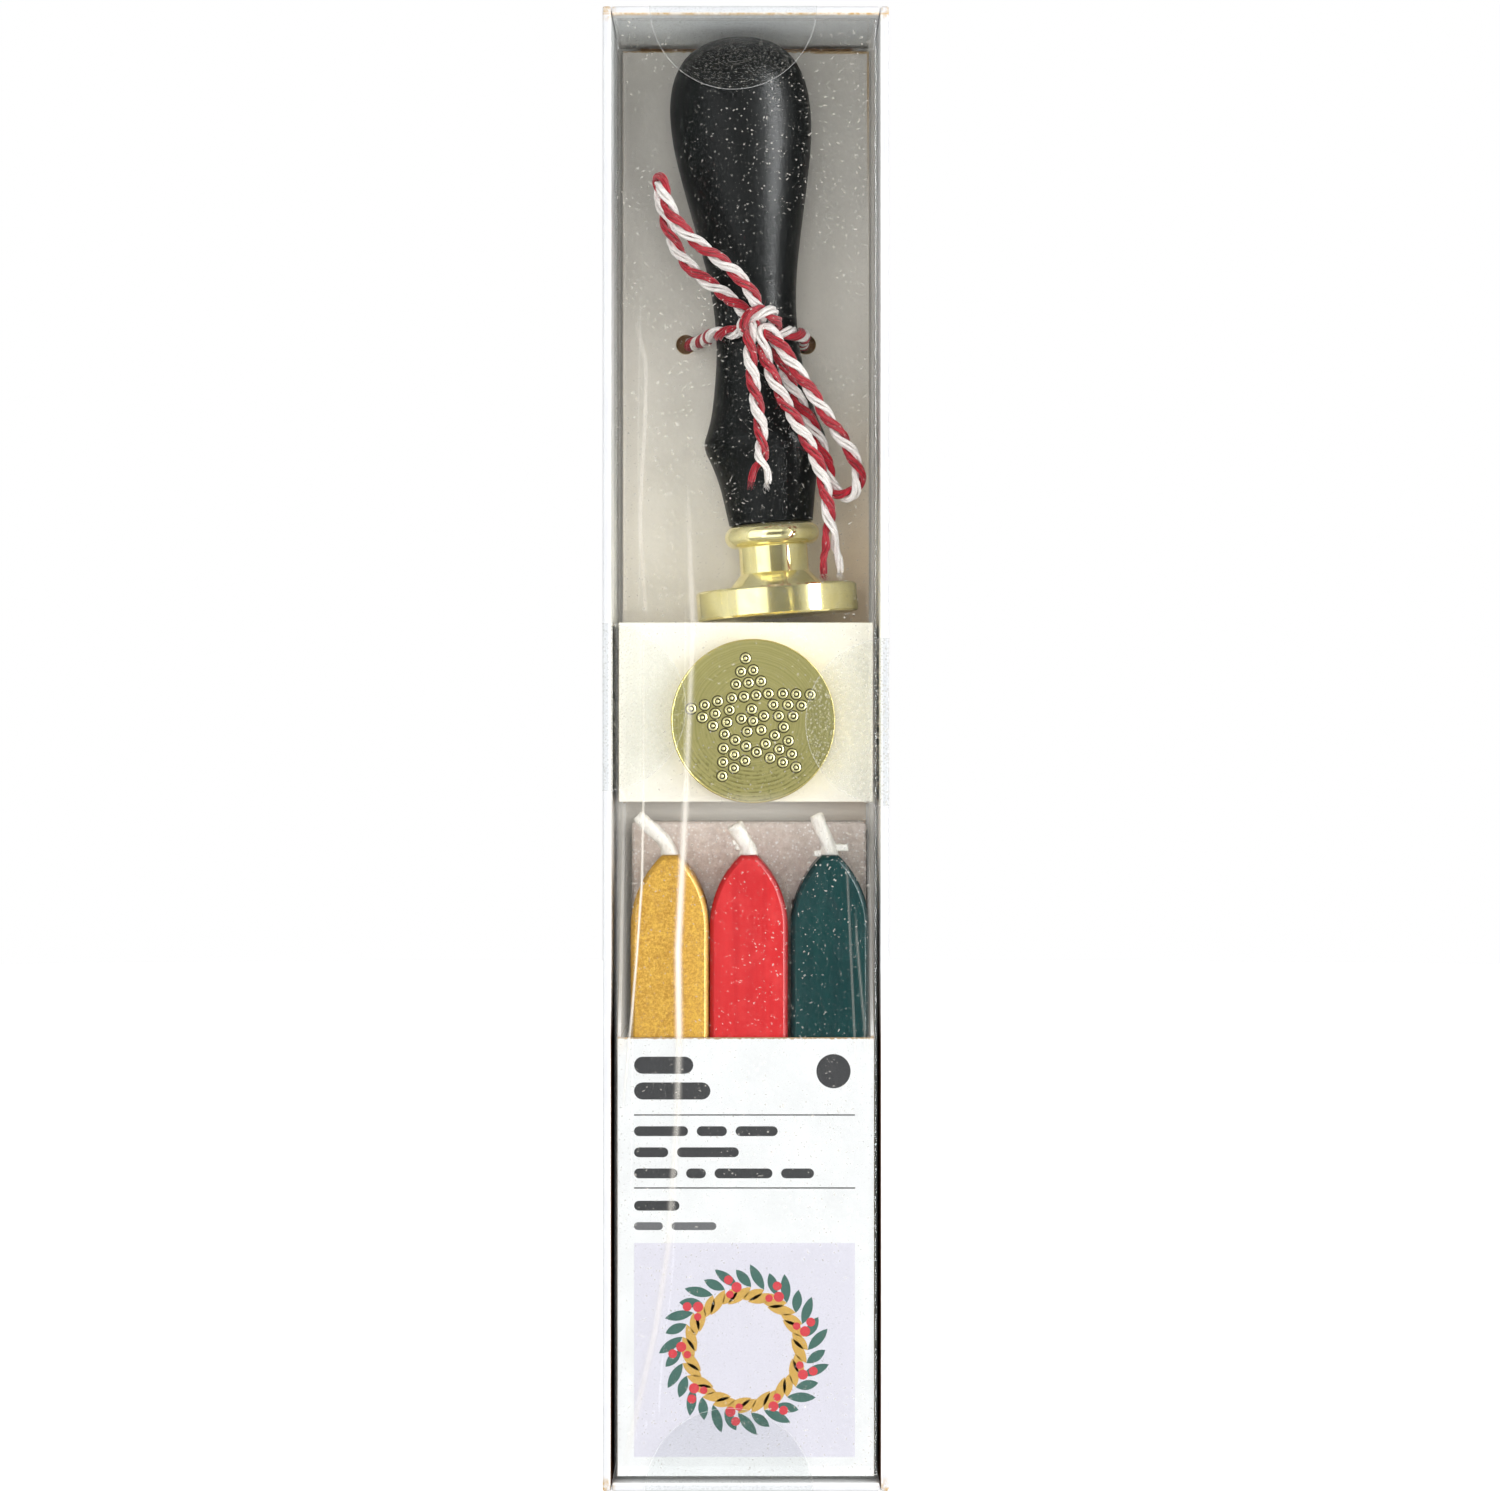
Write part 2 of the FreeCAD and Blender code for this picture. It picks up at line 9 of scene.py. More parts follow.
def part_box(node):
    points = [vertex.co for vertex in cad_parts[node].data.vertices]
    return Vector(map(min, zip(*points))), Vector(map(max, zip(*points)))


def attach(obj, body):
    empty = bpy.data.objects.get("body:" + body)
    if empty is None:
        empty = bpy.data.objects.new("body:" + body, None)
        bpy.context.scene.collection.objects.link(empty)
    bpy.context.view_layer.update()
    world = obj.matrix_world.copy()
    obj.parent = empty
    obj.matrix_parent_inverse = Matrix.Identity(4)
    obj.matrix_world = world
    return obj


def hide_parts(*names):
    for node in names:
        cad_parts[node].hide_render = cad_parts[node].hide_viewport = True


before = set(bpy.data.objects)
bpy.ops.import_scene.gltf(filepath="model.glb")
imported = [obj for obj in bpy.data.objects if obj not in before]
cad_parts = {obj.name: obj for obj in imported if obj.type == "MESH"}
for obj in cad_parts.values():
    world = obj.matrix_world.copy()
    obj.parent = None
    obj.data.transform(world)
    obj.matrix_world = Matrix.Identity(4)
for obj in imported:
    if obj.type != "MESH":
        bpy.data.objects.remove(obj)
scene = bpy.context.scene
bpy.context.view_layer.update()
mm = 0.001

# The photograph's camera: a square image, its scale at the tray's front, and how far off it stands.
photo_pixels = 1500
pixels_per_mm = 6.6
camera_distance = 640.0
sensor_width = 36.0
camera_across = 0.64
camera_height = 112.4

# Places read from the frame, in metres.
tray_low, tray_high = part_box("outer_tray")
cover_low, cover_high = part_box("cover_window")
skirt_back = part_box("cover_side_left")[1].y
foam_low, foam_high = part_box("foam_pad")
pocket_low, pocket_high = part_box("stick_pocket")
backing_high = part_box("backing_card")[1]
spare_low, spare_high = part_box("spare_die")
spare_centre = (spare_low + spare_high) / 2
label_front = pocket_low.y
front = tray_low.y
middle_height = (tray_low.z + tray_high.z) / 2

# Board and sheet, in millimetres.
wall = 1.3
base_board = 0.5
wall_round = 0.32
rim_drop = 0.06
end_rim_drop = 0.15
corner_slit = 0.14
sheet = 0.3
fold_round = 0.5
label_height = 66.5
tie_hole_across = 9.5
tie_hole_height = 176.5
tie_hole_radius = 1.5

# Twine, in millimetres: two plies of four yarns each, flattened where they press on each other.
ply_offset = 0.54
ply_parting = 0.75
yarns = 4
yarn_sides = 7
yarn_across = 0.52
yarn_out = 0.26
yarn_radius = 0.31
loose_pitch = 7.4
tied_pitch = 6.4
tied_depth = 8.2
first_turn = math.pi
short_fray = 5.0
long_fray = 8.5
yarn_turn = 0.45
yarn_lump = 0.12
yarn_lump_scale = 900
yarn_repeat = 1.7
yarn_slant = 0.35
loose_fibres = 900
fibre_root = 0.42
fibre_length = (0.3, 1.15)
fibre_radius = (0.012, 0.02)
tuft_fibres = 34
tuft_spread = 0.4
tuft_root = 0.3
tuft_length = (0.5, 1.3)
tuft_radius = 0.026
twine_seed = 7
noise_seed = 7

# The twine's route as in the part's source, millimetres across, back from the tray's front, and up.
short_tail = [
    (2.1, 4.6, 153.2), (2.5, 4.2, 156.9), (2.4, 3.9, 160.8), (1.8, 3.9, 164.6),
    (1.1, 4.0, 168.6), (0.6, 4.3, 172.6), (0.6, 4.9, 176.9),
]
upper_bow = [
    (0.9, 6.6, 178.6), (-3.0, 7.2, 182.2), (-7.2, 7.6, 185.0), (-10.2, 7.8, 188.3),
    (-11.8, 7.9, 192.0), (-12.8, 7.9, 195.6), (-13.2, 7.9, 198.6), (-13.2, 5.5, 200.0),
    (-12.8, 3.1, 198.6), (-12.0, 3.0, 195.6), (-10.4, 3.1, 192.5), (-7.9, 3.3, 190.0),
    (-4.7, 3.5, 187.7), (-1.5, 3.7, 185.1), (1.1, 4.0, 182.1), (2.4, 4.9, 178.6),
]
tie = [
    (1.6, 6.8, 177.4), (-1.0, 7.9, 176.5), (-3.3, 9.2, 176.5), (-5.2, 11.9, 176.5),
    (-5.6, 15.2, 176.5), (-6.1, 19.0, 176.5), (-7.2, 23.4, 176.5), (-8.3, 26.7, 176.5),
    (-9.2, 29.9, 176.6), (-6.2, 30.0, 176.6), (-2.2, 29.9, 176.5), (2.2, 29.9, 176.5),
    (6.2, 29.9, 176.5), (9.3, 30.0, 176.6), (8.7, 26.6, 176.6), (8.7, 22.6, 176.5),
    (8.9, 18.2, 176.5), (9.0, 14.6, 176.5), (8.2, 11.0, 176.5), (6.3, 8.8, 176.5),
    (4.2, 7.9, 176.6),
]
knot_wrap = [
    (4.7, 6.2, 178.4), (3.4, 3.3, 179.6), (0.6, 2.9, 178.6), (-0.8, 5.0, 177.0),
    (0.8, 7.2, 176.0), (2.6, 6.6, 176.2),
]
lower_bow = [
    (3.4, 4.9, 177.0), (5.9, 4.0, 173.2), (8.6, 3.9, 169.2), (11.2, 4.1, 165.2),
    (13.7, 4.2, 161.4), (15.9, 4.3, 158.2), (17.4, 4.6, 155.0), (17.2, 5.2, 152.2),
    (15.0, 6.2, 150.9), (13.0, 7.0, 152.6), (12.5, 7.3, 155.7), (11.7, 7.4, 158.9),
    (10.2, 7.4, 162.2), (8.3, 7.3, 165.6), (6.5, 7.1, 169.2), (5.1, 6.9, 173.0),
    (4.0, 6.3, 176.9),
]
long_tail = [
    (2.2, 4.9, 176.6), (3.1, 4.6, 171.6), (5.0, 4.3, 167.2), (7.4, 4.1, 163.0),
    (9.8, 4.1, 158.8), (11.6, 4.3, 154.8), (12.4, 4.5, 150.6), (12.9, 4.9, 146.6),
    (12.9, 5.4, 142.8), (13.2, 5.9, 139.4),
]

# Dies, as in the part's source, in millimetres: the turned outline, the star of ringed dots, and the
# axis of the tied stamp.
die_thickness = 4.5
die_edge = 0.3
cone_radius = 7.4
cone_height = 2.3
neck_radius = 5.35
neck_height = 4.0
bead_radius = 7.35
bead_height = 3.6
bore_radius = 3.05
bore_length = 9.0
die_segments = 160
star_radius = 9.6
star_step = 1.9
star_lean = 6.8
star_rows = [(1.0, [0]), (0.8, [-0.5, 0.5]), (0.61, [-1, 0, 1]), (0.4, [-0.5, 0.5]), (0.19, [0])]
star_corner = 0.495
face_sunk = 0.16
ripple_step = 0.62
stamp_axis = (-0.07498, 0.0, 0.997185)

# Wax sticks, as in the part's source, in millimetres.
arch_height = 11.0
apex_width = 2.4


def spot(x, depth, z):
    """A place in the frame from millimetres across, back from the tray's front, and up."""
    return Vector((x * mm, front + depth * mm, z * mm))


def shown(colour):
    """A socket as it is, or the shader colour for the red, green and blue that a screen shows, 0 to 255."""
    if isinstance(colour, bpy.types.NodeSocket):
        return colour
    shades = []
    for level in colour:
        share = level / 255
        shades.append(share / 12.92 if share <= 0.04045 else ((share + 0.055) / 1.055) ** 2.4)
    return (*shades, 1.0)


# Shader building

class Nodes:
    """A node tree, built node by node."""

    def __init__(self, tree):
        self.tree = tree

    def node(self, kind, inputs=None, **settings):
        made = self.tree.nodes.new("ShaderNode" + kind)
        for key, value in settings.items():
            setattr(made, key, value)
        for key, value in (inputs or {}).items():
            if isinstance(value, bpy.types.NodeSocket):
                self.tree.links.new(value, made.inputs[key])
            else:
                made.inputs[key].default_value = value
        return made

    def ranged(self, value, low, high, to_low=0.0, to_high=1.0):
        inputs = {"Value": value, "From Min": low, "From Max": high, "To Min": to_low, "To Max": to_high}
        return self.node("MapRange", inputs).outputs["Result"]

    def maths(self, operation, first, second=0.0, third=0.0):
        return self.node("Math", {0: first, 1: second, 2: third}, operation=operation).outputs[0]

    def chain(self, operation, values):
        result = values[0]
        for value in values[1:]:
            result = self.maths(operation, result, value)
        return result

    def times(self, *values):
        return self.chain("MULTIPLY", values)

    def most(self, *values):
        return self.chain("MAXIMUM", values)

    def plus(self, first, second):
        return self.maths("ADD", first, second)

    def minus(self, first, second):
        return self.maths("SUBTRACT", first, second)

    def size(self, value):
        return self.maths("ABSOLUTE", value)

    def vector(self, operation, *inputs, output="Vector"):
        return self.node("VectorMath", dict(enumerate(inputs)), operation=operation).outputs[output]

    def parts(self, vector):
        return self.node("SeparateXYZ", {0: vector}).outputs[:]


class Shader(Nodes):
    """One material. Noise and cells take their scale per metre, and relief its depths in millimetres."""

    def __init__(self, name):
        self.material = bpy.data.materials.new(name)
        self.material.use_nodes = True
        super().__init__(self.material.node_tree)
        self.tree.nodes.clear()

    def place(self, scale=(1, 1, 1), kind="Object"):
        source = self.node("TexCoord").outputs[kind]
        return self.node("Mapping", {"Vector": source, "Scale": scale}).outputs["Vector"]

    def normal_parts(self):
        return self.parts(self.node("NewGeometry").outputs["Normal"])

    def noise(self, place, scale, detail=3.0, roughness=0.5, distortion=0.0):
        inputs = {"Vector": place, "Scale": scale, "Detail": detail, "Roughness": roughness,
                  "Distortion": distortion}
        return self.node("TexNoise", inputs).outputs[0]

    def line_noise(self, value, scale, detail=3.0):
        inputs = {"W": value, "Scale": scale, "Detail": detail}
        return self.node("TexNoise", inputs, noise_dimensions="1D").outputs[0]

    def cells(self, place, scale):
        return self.node("TexVoronoi", {"Vector": place, "Scale": scale}).outputs["Distance"]

    def attribute(self, name):
        return self.node("Attribute", attribute_name=name).outputs["Fac"]

    def mix(self, share, first, second):
        inputs = {0: share, 6: shown(first), 7: shown(second)}
        return self.node("Mix", inputs, data_type="RGBA").outputs[2]

    def shades(self, value, low, high, first, second):
        """Two colours, blended as a value goes from low to high."""
        return self.mix(self.ranged(value, low, high), first, second)

    def relief(self, *layers):
        """Bumps on top of each other: the height, its depth in millimetres and its strength."""
        normal = None
        for height, depth, strength in layers:
            inputs = {"Height": height, "Distance": depth * mm, "Strength": strength}
            if normal is not None:
                inputs["Normal"] = normal
            normal = self.node("Bump", inputs).outputs["Normal"]
        return normal

    def surface(self, inputs):
        return self.node("BsdfPrincipled", inputs).outputs["BSDF"]

    def blend(self, share, first, second):
        return self.node("MixShader", {0: share, 1: first, 2: second}).outputs[0]

    def done(self, shader):
        self.node("OutputMaterial", {"Surface": shader})
        return self.material

    def finish(self, colour, roughness, normal, metallic=0.0, specular=0.5, sheen=0.0):
        """An opaque material."""
        return self.done(self.surface({
            "Base Color": colour, "Roughness": roughness, "Normal": normal, "Metallic": metallic,
            "Specular IOR Level": specular, "Sheen Weight": sheen,
        }))


def white_board():
    """White coated board with a soft mottle, yellowed corners and rim, and brown low on its inner sides;
    its outer faces are painted greyer as shade.
    """
    s = Shader("white_board_coated")
    place = s.place()
    fibre = s.noise(place, 2400, 6, 0.6)
    cloud = s.noise(place, 120, 4, 0.6)
    x, y, z = s.parts(place)
    across = s.size(x)
    off_middle = s.size(s.minus(z, middle_height))
    half = tray_high.z - middle_height
    from_edge = s.maths("MINIMUM", s.minus(tray_high.x, across), s.minus(half, off_middle))
    # Painted shade: the outer faces get a greyer white than the inner faces.
    painted_outer_shade = s.most(s.ranged(from_edge, wall * 0.85 * mm, wall * 0.7 * mm),
                     s.ranged(s.normal_parts()[1], 0.5, 0.8))
    colour = s.mix(painted_outer_shade, s.shades(cloud, 0.35, 0.7, (252, 252, 251), (246, 246, 245)),
                   s.shades(cloud, 0.35, 0.7, (219, 220, 222), (213, 214, 217)))
    near_end = s.ranged(off_middle, half - 2.6 * mm, half - 1.0 * mm)
    near_side = s.ranged(across, tray_high.x - 2.2 * mm, tray_high.x - 1.0 * mm)
    near_front = s.ranged(y, front + 3.2 * mm, front + 0.6 * mm)
    scuffed = s.ranged(s.noise(place, 900, 5, 0.7), 0.42, 0.62)
    worn = s.times(near_end, near_side, near_front, scuffed)
    inner_edge = s.size(s.minus(z, tray_high.z - (wall - 0.12) * mm))
    raw_line = s.times(s.ranged(inner_edge, 0.22 * mm, 0.1 * mm),
                       s.ranged(y, front + 1.4 * mm, front + 0.9 * mm),
                       s.ranged(scuffed, 0.0, 0.8, 0.45, 1.0))
    colour = s.mix(s.most(worn, raw_line), colour, (196, 160, 98))
    inner_side = s.times(s.ranged(s.size(s.normal_parts()[0]), 0.6, 0.8),
                         s.ranged(across, tray_high.x - 0.9 * mm, tray_high.x - 1.1 * mm))
    below = s.ranged(s.maths("MULTIPLY_ADD", cloud, 8 * mm, z), 84 * mm, 72 * mm)
    colour = s.mix(s.times(inner_side, below), colour, (84, 48, 20))
    shape = s.relief((fibre, 0.012, 0.6), (cloud, 0.1, 0.35))
    return s.finish(colour, s.ranged(fibre, 0.3, 0.7, 0.5, 0.64), shape, specular=0.15)


def brown_board():
    """The board's inside: brown, flecked and fibrous, faced with white paper along its upper sides."""
    s = Shader("brown_board_raw")
    place = s.place()
    fibre = s.noise(s.place((1, 1, 0.35)), 3000, 6, 0.65)
    fleck = s.ranged(s.noise(place, 1400, 4, 0.7), 0.55, 0.72)
    colour = s.shades(fibre, 0.3, 0.7, (150, 110, 74), (178, 138, 98))
    colour = s.mix(fleck, colour, (118, 82, 52))
    x, _, z = s.parts(place)
    faced = s.times(s.ranged(z, 70 * mm, 80 * mm), s.ranged(s.size(x), 16.5 * mm, 18 * mm))
    colour = s.mix(faced, colour, (238, 235, 230))
    return s.finish(colour, 0.86, s.relief((fibre, 0.02, 0.7)))


def insert_card(name, tint, cut_heights, holes=(), card_top=None):
    """White card of the insert: printed side white, cut edges and back raw and brown. Given its top, the
    card also gets thin brown bands along its top edge on the right and down its right edge, painted shade
    that greys its upper part, and painted warm shade low on its right.
    """
    s = Shader(name)
    place = s.place()
    fibre = s.noise(place, 2200, 6, 0.6)
    cloud = s.noise(place, 150, 3, 0.6)
    colour = s.shades(cloud, 0.35, 0.7, tint, [level - 7 for level in tint])
    x, _, z = s.parts(place)
    turned = s.normal_parts()
    raw = s.most(s.ranged(s.size(x), backing_high.x - 0.05 * mm, backing_high.x - 0.02 * mm),
                 s.ranged(turned[1], 0.6, 0.8))
    upward = s.ranged(turned[2], 0.5, 0.8)
    for height in cut_heights:
        off = s.size(s.minus(z, height))
        frayed = s.ranged(s.noise(place, 1500, 2), 0.35, 0.65, 0.1 * mm, 0.3 * mm)
        raw = s.most(raw, s.ranged(s.minus(off, frayed), 0.03 * mm, -0.03 * mm),
                     s.times(upward, s.ranged(off, 0.25 * mm, 0.1 * mm)))
    for hole_x, hole_z, radius in holes:
        off_x = s.minus(x, hole_x)
        off_z = s.minus(z, hole_z)
        off = s.maths("SQRT", s.plus(s.times(off_x, off_x), s.times(off_z, off_z)))
        raw = s.most(raw, s.ranged(off, radius + 0.12 * mm, radius + 0.03 * mm))
    if card_top:
        top_line = s.times(s.ranged(z, card_top - 0.5 * mm, card_top - 0.3 * mm),
                           s.ranged(x, 10.0 * mm, 11.0 * mm))
        side_line = s.times(s.ranged(x, backing_high.x - 0.4 * mm, backing_high.x - 0.25 * mm),
                            s.ranged(z, card_top - 26 * mm, card_top - 6 * mm))
        raw = s.most(raw, top_line, side_line)
        # Painted shade: the card greys towards its top, where the tray's top wall would shade it.
        painted_top_shade = s.ranged(z, card_top - 62 * mm, card_top - 22 * mm, 0.0, 0.9)
        colour = s.mix(painted_top_shade, colour, (200, 195, 187))
        # Painted warm shade, low on the card's right.
        painted_warm_shade = s.times(s.ranged(x, 6 * mm, 17 * mm),
                         s.ranged(z, card_top - 52 * mm, card_top - 80 * mm, 0.0, 0.6))
        colour = s.mix(painted_warm_shade, colour, (222, 190, 150))
    brown = s.shades(fibre, 0.3, 0.7, (150, 122, 86), (182, 156, 116))
    colour = s.mix(raw, colour, brown)
    shape = s.relief((fibre, 0.014, 0.6), (cloud, 0.15, 0.3))
    return s.finish(colour, s.ranged(fibre, 0.3, 0.7, 0.5, 0.66), shape)


def foam():
    """Pale foam with a pinkish cast, pitted cells and bright flecks."""
    s = Shader("foam_cells")
    place = s.place()
    grain = s.noise(place, 1500, 5, 0.7)
    fleck = s.most(s.ranged(s.cells(place, 1500), 0.3, 0.1), s.ranged(s.cells(place, 800), 0.2, 0.08))
    colour = s.shades(grain, 0.35, 0.68, (206, 190, 180), (232, 220, 212))
    colour = s.mix(s.times(fleck, 0.8), colour, (255, 252, 250))
    return s.finish(colour, 0.72, s.relief((s.cells(place, 900), 0.18, 0.55), (grain, 0.1, 0.5)))


def painted_edge_shade(s, colour, darker, most):
    """Painted shade: wax is made darker where a stick's face turns over its edges."""
    return s.mix(s.ranged(s.normal_parts()[1], -0.94, -0.6, 0.0, most), colour, darker)


def gold_wax():
    """Gold wax with fine pearly flakes."""
    s = Shader("wax_gold_pearl")
    flake = s.noise(s.place(), 2500, 2, 0.8)
    drift = s.noise(s.place((1, 1, 0.3)), 260, 3, 0.5)
    colour = s.shades(flake, 0.34, 0.68, (164, 116, 24), (226, 180, 70))
    colour = s.mix(s.ranged(drift, 0.35, 0.75, 0.0, 0.45), colour, (206, 158, 50))
    # Painted shade towards the stick's edges.
    colour = painted_edge_shade(s, colour, (160, 118, 40), 0.6)
    rough = s.ranged(flake, 0.3, 0.7, 0.5, 0.36)
    return s.finish(colour, rough, s.relief((flake, 0.02, 0.5)), metallic=0.2)


def red_wax():
    """Red wax: smooth, with faint drawn lines from the mould."""
    s = Shader("wax_red_smooth")
    drawn = s.noise(s.place((1, 1, 0.04)), 700, 4, 0.6)
    haze = s.noise(s.place(), 320, 4, 0.65)
    colour = s.shades(drawn, 0.35, 0.68, (198, 20, 27), (212, 35, 38))
    colour = s.mix(s.ranged(haze, 0.5, 0.8, 0.0, 0.35), colour, (230, 70, 68))
    # Painted shade towards the stick's edges.
    colour = painted_edge_shade(s, colour, (142, 14, 22), 0.7)
    rough = s.ranged(haze, 0.3, 0.75, 0.3, 0.48)
    return s.finish(colour, rough, s.relief((drawn, 0.03, 0.35)), specular=0.3)


def green_wax():
    """Dark green wax with rubbed smudges and a little pale dust."""
    s = Shader("wax_green_smudged")
    place = s.place()
    drawn = s.noise(s.place((1, 1, 0.12)), 420, 4, 0.6)
    smudge = s.ranged(s.noise(s.place((1, 1, 0.5)), 300, 5, 0.62, 0.8), 0.5, 0.72)
    dust = s.times(s.ranged(s.cells(place, 620), 0.085, 0.03), s.ranged(s.noise(place, 180, 2), 0.5, 0.62))
    colour = s.shades(drawn, 0.35, 0.68, (2, 49, 50), (6, 59, 58))
    colour = s.mix(s.times(smudge, 0.6), colour, (6, 42, 46))
    colour = s.mix(s.times(dust, 0.6), colour, (190, 200, 196))
    # Painted shade towards the stick's edges.
    colour = painted_edge_shade(s, colour, (4, 36, 40), 0.6)
    rough = s.ranged(smudge, 0.0, 1.0, 0.34, 0.52)
    return s.finish(colour, rough, s.relief((smudge, 0.04, 0.5)), specular=0.25)


def wick_wax():
    """Cotton wick soaked in white wax."""
    s = Shader("wick_waxed_cotton")
    strand = s.noise(s.place((1, 1, 0.25)), 2400, 4, 0.6)
    lump = s.noise(s.place(), 900, 3, 0.6)
    colour = s.shades(strand, 0.32, 0.68, (226, 221, 212), (250, 247, 241))
    return s.finish(colour, 0.5, s.relief((strand, 0.07, 0.6), (lump, 0.08, 0.4)))


def black_wood():
    """Turned wood under black satin lacquer: grain just shows, and a little dust lies on it."""
    s = Shader("black_wood_lacquered")
    place = s.place()
    grain = s.noise(s.place((1, 1, 0.06)), 1500, 5, 0.65)
    dust = s.times(s.ranged(s.cells(place, 520), 0.06, 0.025), s.ranged(s.noise(place, 140, 2), 0.5, 0.66))
    colour = s.shades(s.noise(place, 160, 4, 0.6), 0.35, 0.7, (4, 7, 7), (9, 13, 13))
    colour = s.mix(s.times(dust, 0.5), colour, (150, 152, 152))
    rough = s.ranged(s.noise(place, 900, 4, 0.7), 0.3, 0.7, 0.36, 0.44)
    shape = s.relief((grain, 0.02, 0.5), (s.noise(place, 2600, 2, 0.6), 0.02, 0.4))
    return s.finish(colour, rough, shape, specular=0.18)


def steel():
    """Plain bright steel of the hidden stud, with a fine turned finish."""
    s = Shader("stud_steel_turned")
    lines = s.noise(s.place((1, 1, 14)), 900, 3, 0.6)
    colour = s.shades(lines, 0.3, 0.7, (170, 172, 174), (206, 208, 210))
    return s.finish(colour, 0.3, s.relief((lines, 0.01, 0.5)), metallic=1.0)


def polished_brass():
    """Polished pale brass with fine rings left by the lathe, across the stamp's tilted axis."""
    s = Shader("brass_polished")
    place = s.place()
    rings = s.line_noise(s.vector("DOT_PRODUCT", place, stamp_axis, output="Value"), 9000)
    colour = s.shades(s.noise(place, 210, 4, 0.6), 0.35, 0.72, (254, 244, 190), (249, 235, 166))
    rough = s.ranged(rings, 0.3, 0.7, 0.08, 0.15)
    return s.finish(colour, rough, s.relief((rings, 0.004, 0.5)), metallic=0.82)


def faced_brass():
    """The spare die: a dull olive face with the cutter's rings, polished round its side."""
    s = Shader("brass_faced")
    place = s.place()
    off = s.vector("SUBTRACT", place, (spare_centre.x, 0, spare_centre.z))
    out = s.vector("LENGTH", s.vector("MULTIPLY", off, (1, 0, 1)), output="Value")
    wandering = s.plus(out, s.times(s.noise(place, 130, 2), 0.9 * mm))
    rings = s.line_noise(wandering, 3600)
    fine = s.noise(place, 2600, 4, 0.7)
    face = s.ranged(s.normal_parts()[1], -0.75, -0.95)
    low_half = s.ranged(s.parts(off)[2], 2.0 * mm, -7.0 * mm, 0.25, 1.0)
    colour = s.shades(rings, 0.3, 0.7, (141, 135, 80), (158, 151, 97))
    colour = s.mix(s.ranged(fine, 0.45, 0.75, 0.0, 0.5), colour, (150, 144, 84))
    ripple = s.maths("SINE", s.times(wandering, 2 * math.pi / (ripple_step * mm)))
    broken = s.ranged(s.noise(place, 700, 3, 0.7), 0.4, 0.6, 0.1, 1.0)
    lines = s.times(s.ranged(ripple, 0.0, 0.8), broken, s.ranged(low_half, 0.6, 1.0, 0.0, 0.8))
    colour = s.mix(lines, colour, (104, 98, 50))
    pits = s.ranged(s.noise(place, 1700, 3, 0.7), 0.56, 0.66)
    colour = s.mix(s.times(pits, s.ranged(low_half, 0.3, 1.0, 0.1, 0.7)), colour, (112, 106, 56))
    colour = s.mix(face, (232, 212, 130), colour)
    shape = s.relief((s.times(rings, low_half), 0.03, 0.5), (fine, 0.01, 0.4))
    return s.finish(colour, s.ranged(face, 0.0, 1.0, 0.16, 0.44), shape, metallic=0.6)


def struck_brass(name, tint, roughness):
    """Brass of the struck dots: for their moats and dimples a dark brass as painted shade, for their rings
    and peaks a lighter brass, rubbed bright and painted lighter as highlight.
    """
    s = Shader(name)
    grain = s.noise(s.place(), 2600, 4, 0.7)
    colour = s.shades(grain, 0.35, 0.7, tint, [level * 0.86 for level in tint])
    return s.finish(colour, roughness, s.relief((grain, 0.01, 0.5)), metallic=0.7)


def yarn(name, colour, shadow):
    """Twisted cotton yarn: fibres run along it, with painted shade in darker streaks and patches standing
    for its valleys, and a soft fuzz.
    """
    s = Shader(name)
    fibre = s.noise(s.place((9, 0.9, 1), "UV"), 1.0, 4, 0.65)
    cloud = s.noise(s.place(), 700, 3, 0.6)
    shade = s.shades(fibre, 0.34, 0.62, shadow, colour)
    shade = s.mix(s.ranged(cloud, 0.4, 0.8, 0.0, 0.3), shade, shadow)
    return s.finish(shade, 0.9, s.relief((fibre, 0.09, 0.7)), sheen=0.25)


def see_through(s, gloss_normal, haze, haze_colour, gloss_roughness, edge_gain=0.15):
    """Clear film: mirror-like only at its Fresnel share, and clouded where haze says."""
    facing = s.node("LayerWeight", {"Blend": 0.5}).outputs["Facing"]
    share = s.maths("MULTIPLY_ADD", s.maths("POWER", facing, 5.0), edge_gain, 0.03)
    clear = s.node("BsdfTransparent", {"Color": (0.985, 0.99, 0.99, 1.0)}).outputs[0]
    gloss = s.node("BsdfGlossy", {"Roughness": gloss_roughness, "Normal": gloss_normal}).outputs[0]
    cloud = s.surface({"Base Color": haze_colour, "Roughness": 0.6})
    return s.blend(haze, s.blend(share, clear, gloss), cloud)


